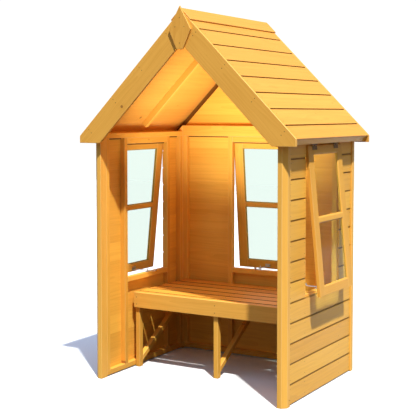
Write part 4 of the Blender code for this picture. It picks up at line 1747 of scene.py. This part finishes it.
@dataclass
class Fixings(SubAssembly):
    """The heads of the screws and nails that show, each a low dome with a small recess.

    A profile gives each ring of the dome as (width, rise), in shares of its radius.
    """

    roof: Roof
    gables: Gables
    bench: Bench
    sides: int = 10
    profile: tuple[Span, ...] = ((1.0, -0.25), (0.96, 0.10), (0.72, 0.26), (0.36, 0.30), (0.30, 0.02))
    gable_radius: float = 0.0026
    gable_rows: tuple[float, ...] = (0.16, 0.42, 0.68, 0.93)
    gable_depths: Span = (0.022, 0.048)
    finial_spots: tuple[Span, ...] = ((-0.030, 2.075), (0.030, 2.075), (0.0, 2.125), (0.0, 1.985))
    seat_radius: float = 0.0030
    seat_rows: tuple[float, ...] = (
        -0.136, -0.090, -0.034, 0.017, 0.073, 0.124, 0.180, 0.231, 0.287, 0.338, 0.396,
    )
    fascia_heights: Span = (0.400, 0.444)
    cladding_radius: float = 0.0020
    cladding_heights: Span = (0.022, 0.084)
    half_batten: float = 0.0155
    clear_of_cut: float = 0.004
    beside_window: float = 0.010
    back_lines: tuple[float, ...] = (-0.569, -0.2305, 0.2305, 0.569)
    roof_radius: float = 0.0022
    roof_heights: Span = (0.026, 0.084)
    roof_lines: Triple = (-0.5053, -0.0048, 0.4832)
    clear_of_ridge: float = 0.1

    def build(self) -> None:
        """Build and dress every set of heads."""
        self.row("gable_screws", self.gable_places(), self.gable_radius)
        self.row("seat_screws", self.seat_places(), self.seat_radius)
        self.row("cladding_nails", self.cladding_places(), self.cladding_radius)
        self.row("roof_nails", self.roof_places(), self.roof_radius)

    def row(self, name: str, places: Iterable[Spot], radius: float) -> None:
        """Build a set of heads as one piece.

        Args:
            name: the piece's name.
            places: each head's place and facing.
            radius: their radius.
        """
        bundle = Bundle(name)
        for at, out in places:
            self.head(bundle, at, out, radius)
        bundle.finish(self.finishes.browned_zinc)

    def head(self, bundle: Bundle, at: Vector, out: Vector, radius: float) -> None:
        """Add one head.

        Args:
            bundle: what it goes into.
            at: the middle of the head, on the surface.
            out: the way the surface faces.
            radius: the head's radius.
        """
        out = out.normalized()
        first = out.orthogonal().normalized()
        second = out.cross(first)
        shape = bmesh.new()
        loops = []
        for width, rise in self.profile:
            loop = []
            for index in range(self.sides):
                turn = math.tau * index / self.sides
                spoke = first * math.cos(turn) + second * math.sin(turn)
                loop.append(shape.verts.new(at + spoke * radius * width + out * radius * rise))
            loops.append(loop)
        for lower, upper in zip(loops, loops[1:]):
            for index in range(self.sides):
                following = (index + 1) % self.sides
                shape.faces.new((lower[index], lower[following], upper[following], upper[index]))
        shape.faces.new(loops[-1])
        shape.faces.new(loops[0])
        bmesh.ops.recalc_face_normals(shape, faces=shape.faces)
        bundle.add(shape, out, first)

    def gable_places(self) -> list[Spot]:
        """Places of the screws in the bargeboards and the finial.

        Returns:
            Each screw's place and facing.
        """
        gables, found = self.gables, []
        for face, out in ((gables.front_faces[0], -ALONG_Y), (gables.rear_faces[1], ALONG_Y)):
            for side in Side:
                slope = Slope(side, self.plan.ridge)
                for down in self.gable_rows:
                    found += [(slope.point(down, depth, face), out) for depth in self.gable_depths]
        face = gables.finial_faces[0]
        return found + [(Vector((x, face, z)), -ALONG_Y) for x, z in self.finial_spots]

    def seat_places(self) -> list[Spot]:
        """Places of the screws in the seat boards and the fascia.

        Returns:
            Each screw's place and facing.
        """
        bench, found = self.bench, []
        for x in bench.support_middles:
            found += [(Vector((x, y, bench.seat_top)), UP) for y in self.seat_rows]
            found += [(Vector((x, bench.fascia[0], z)), -ALONG_Y) for z in self.fascia_heights]
        return found

    def cladding_places(self) -> list[Spot]:
        """Places of the nails in the wall boards, two to a board at each upright.

        Returns:
            Each nail's place and facing.
        """
        plan, inset, found = self.plan, self.half_batten, []
        outside = plan.board_inner + plan.board_thickness
        back = plan.back_board + plan.board_thickness
        (front, rear), (near, far) = plan.side_ends, plan.side_window
        lines = ((front + inset, 0.0), (near - inset, -1.0), (far + inset, 1.0), (rear - inset, 0.0))
        for number in range(plan.side_boards):
            for up in self.cladding_heights:
                height = plan.ground_gap + number * plan.board_pitch + up
                low, high = plan.cut_low - self.clear_of_cut, plan.cut_high + self.clear_of_cut
                aside = self.beside_window if low <= height <= high else 0.0
                for y, way in lines:
                    for side in Side:
                        at = Vector((side.value * outside, y + way * aside, height))
                        found.append((at, ALONG_X * side.value))
                found += [(Vector((x, back, height)), ALONG_Y) for x in self.back_lines]
        return found

    def roof_places(self) -> list[Spot]:
        """Places of the nails in the roof boards, two to a board at each rafter.

        Returns:
            Each nail's place and facing.
        """
        found = []
        for side in Side:
            slope = Slope(side, self.plan.ridge)
            for low in self.roof.joints()[:-1]:
                for up in self.roof_heights:
                    down = self.plan.slope_length - low - up
                    if down >= self.clear_of_ridge:
                        found += [(slope.point(down, 0.0, y), side.off_slope) for y in self.roof_lines]
        return found


@dataclass
class Studio:
    """The floor, the light and the camera."""

    finishes: Finishes
    floor_half: float = 14.0
    sun_strength: float = 5.1
    sun_angle: float = math.radians(1.6)
    sun_travel: Triple = (-0.44, 0.41, -1.0)
    sun_colour: Colour = (1.0, 0.955, 0.85)
    horizon_light: Colour = (0.26, 0.235, 0.18)
    overhead_light: Colour = (0.84, 0.98, 1.34)
    glow_place: Triple = (0.0, -0.38, 1.06)
    glow_travel: Triple = (-0.08, 0.90, 1.0)
    glow_size: Span = (0.60, 0.36)
    glow_spread: float = math.radians(104.0)
    glow_power: float = 7.0
    glow_colour: Colour = (1.0, 0.98, 0.89)
    backdrop: Colour = (1.0, 1.0, 1.0)
    backdrop_strength: float = 1.06
    camera_place: Triple = (2.9255, -5.2353, 1.5935)
    camera_turn: float = math.radians(30.3811)
    camera_pitch: float = math.radians(3.0714)
    lens: float = 85.389
    film_width: float = 36.0
    shift: float = -0.10

    def build(self) -> None:
        """Set up the studio."""
        self.floor()
        self.sun()
        self.surroundings()
        self.glow()
        self.camera()

    def floor(self) -> None:
        """Lay the floor."""
        half = self.floor_half
        corners = [(-half, -half, 0.0), (half, -half, 0.0), (half, half, 0.0), (-half, half, 0.0)]
        mesh = bpy.data.meshes.new("studio_floor")
        mesh.from_pydata(corners, [], [(0, 1, 2, 3)])
        mesh.materials.append(self.finishes.floor)
        floor = bpy.data.objects.new("studio_floor", mesh)
        bpy.context.scene.collection.objects.link(floor)

    @staticmethod
    def hang(light: bpy.types.Light, travel: Triple) -> bpy.types.Object:
        """Hang a lamp.

        Args:
            light: the lamp's light.
            travel: which way the light goes.

        Returns:
            The lamp.
        """
        lamp = bpy.data.objects.new(light.name, light)
        lamp.rotation_mode = "QUATERNION"
        lamp.rotation_quaternion = Vector(travel).to_track_quat("-Z", "Y")
        bpy.context.scene.collection.objects.link(lamp)
        return lamp

    def sun(self) -> None:
        """Hang the sun."""
        sun = bpy.data.lights.new("sun", "SUN")
        sun.energy = self.sun_strength
        sun.angle = self.sun_angle
        sun.color = self.sun_colour
        self.hang(sun, self.sun_travel)

    def surroundings(self) -> None:
        """Set the soft light of the sky, and the plain backdrop that is seen in its place."""
        world = bpy.data.worlds.new("surroundings")
        world.use_nodes = True
        world.node_tree.nodes.clear()
        sky = Nodes(world.node_tree)
        way = sky.node("TexCoord", {}).outputs["Generated"]
        height = sky.node("SeparateXYZ", {0: way}).outputs["Z"]
        light = sky.mix(sky.times(height, height), self.horizon_light, self.overhead_light)
        soft = sky.node("Background", {0: light})
        plain = sky.node("Background", {0: self.backdrop, 1: self.backdrop_strength})
        ray = sky.node("LightPath", {}).outputs
        seen = sky.sum("MAXIMUM", ray["Is Camera Ray"], ray["Is Transmission Ray"])
        either = sky.node("MixShader", {0: seen, 1: soft.outputs[0], 2: plain.outputs[0]})
        sky.node("OutputWorld", {0: either.outputs[0]})
        bpy.context.scene.world = world
        bpy.context.scene.view_settings.view_transform = "Standard"

    def glow(self) -> None:
        """Set a warm soft light inside, for the sunlight that the timber throws up to the roof."""
        soft = bpy.data.lights.new("glow", "AREA")
        soft.shape = "RECTANGLE"
        soft.size, soft.size_y = self.glow_size
        soft.spread = self.glow_spread
        soft.energy = self.glow_power
        soft.color = self.glow_colour
        lamp = self.hang(soft, self.glow_travel)
        lamp.location = self.glow_place
        lamp.visible_camera = False
        lamp.visible_glossy = False
        lamp.visible_transmission = False

    def camera(self) -> None:
        """Set the camera where the photograph was taken from."""
        data = bpy.data.cameras.new("camera")
        data.lens = self.lens
        data.sensor_width = self.film_width
        data.shift_y = self.shift
        data.dof.use_dof = False
        camera = bpy.data.objects.new("camera", data)
        camera.location = self.camera_place
        camera.rotation_euler = (math.pi / 2 - self.camera_pitch, 0.0, self.camera_turn)
        bpy.context.scene.collection.objects.link(camera)
        bpy.context.scene.camera = camera


def windows(plan: Plan, finishes: Finishes) -> list[Window]:
    """The three windows.

    Args:
        plan: the arbour's main lines.
        finishes: its finishes.

    Returns:
        The windows, not built yet.
    """
    found = []
    for wall, turn in zip(plan.walls(), (math.pi, 0.0, math.pi / 2)):
        left, right = wall.window
        origin = wall.point((left + right) / 2, 0.0, wall.frame_faces[1])
        found.append(Window(plan, finishes, wall.name, right - left, origin, turn))
    return found


def main() -> None:
    """Build the arbour and its studio."""
    logging.basicConfig(level=logging.INFO, format="%(name)s: %(message)s", stream=sys.stdout)
    plan = Plan()
    finishes = Finishes()
    roof, gables, bench = Roof(plan, finishes), Gables(plan, finishes), Bench(plan, finishes)
    assemblies = [
        Posts(plan, finishes),
        WallFrames(plan, finishes),
        Cladding(plan, finishes),
        roof,
        gables,
        *windows(plan, finishes),
        bench,
        Fixings(plan, finishes, roof, gables, bench),
        Studio(finishes),
    ]
    for assembly in assemblies:
        assembly.build()


if __name__ == "__main__":
    main()
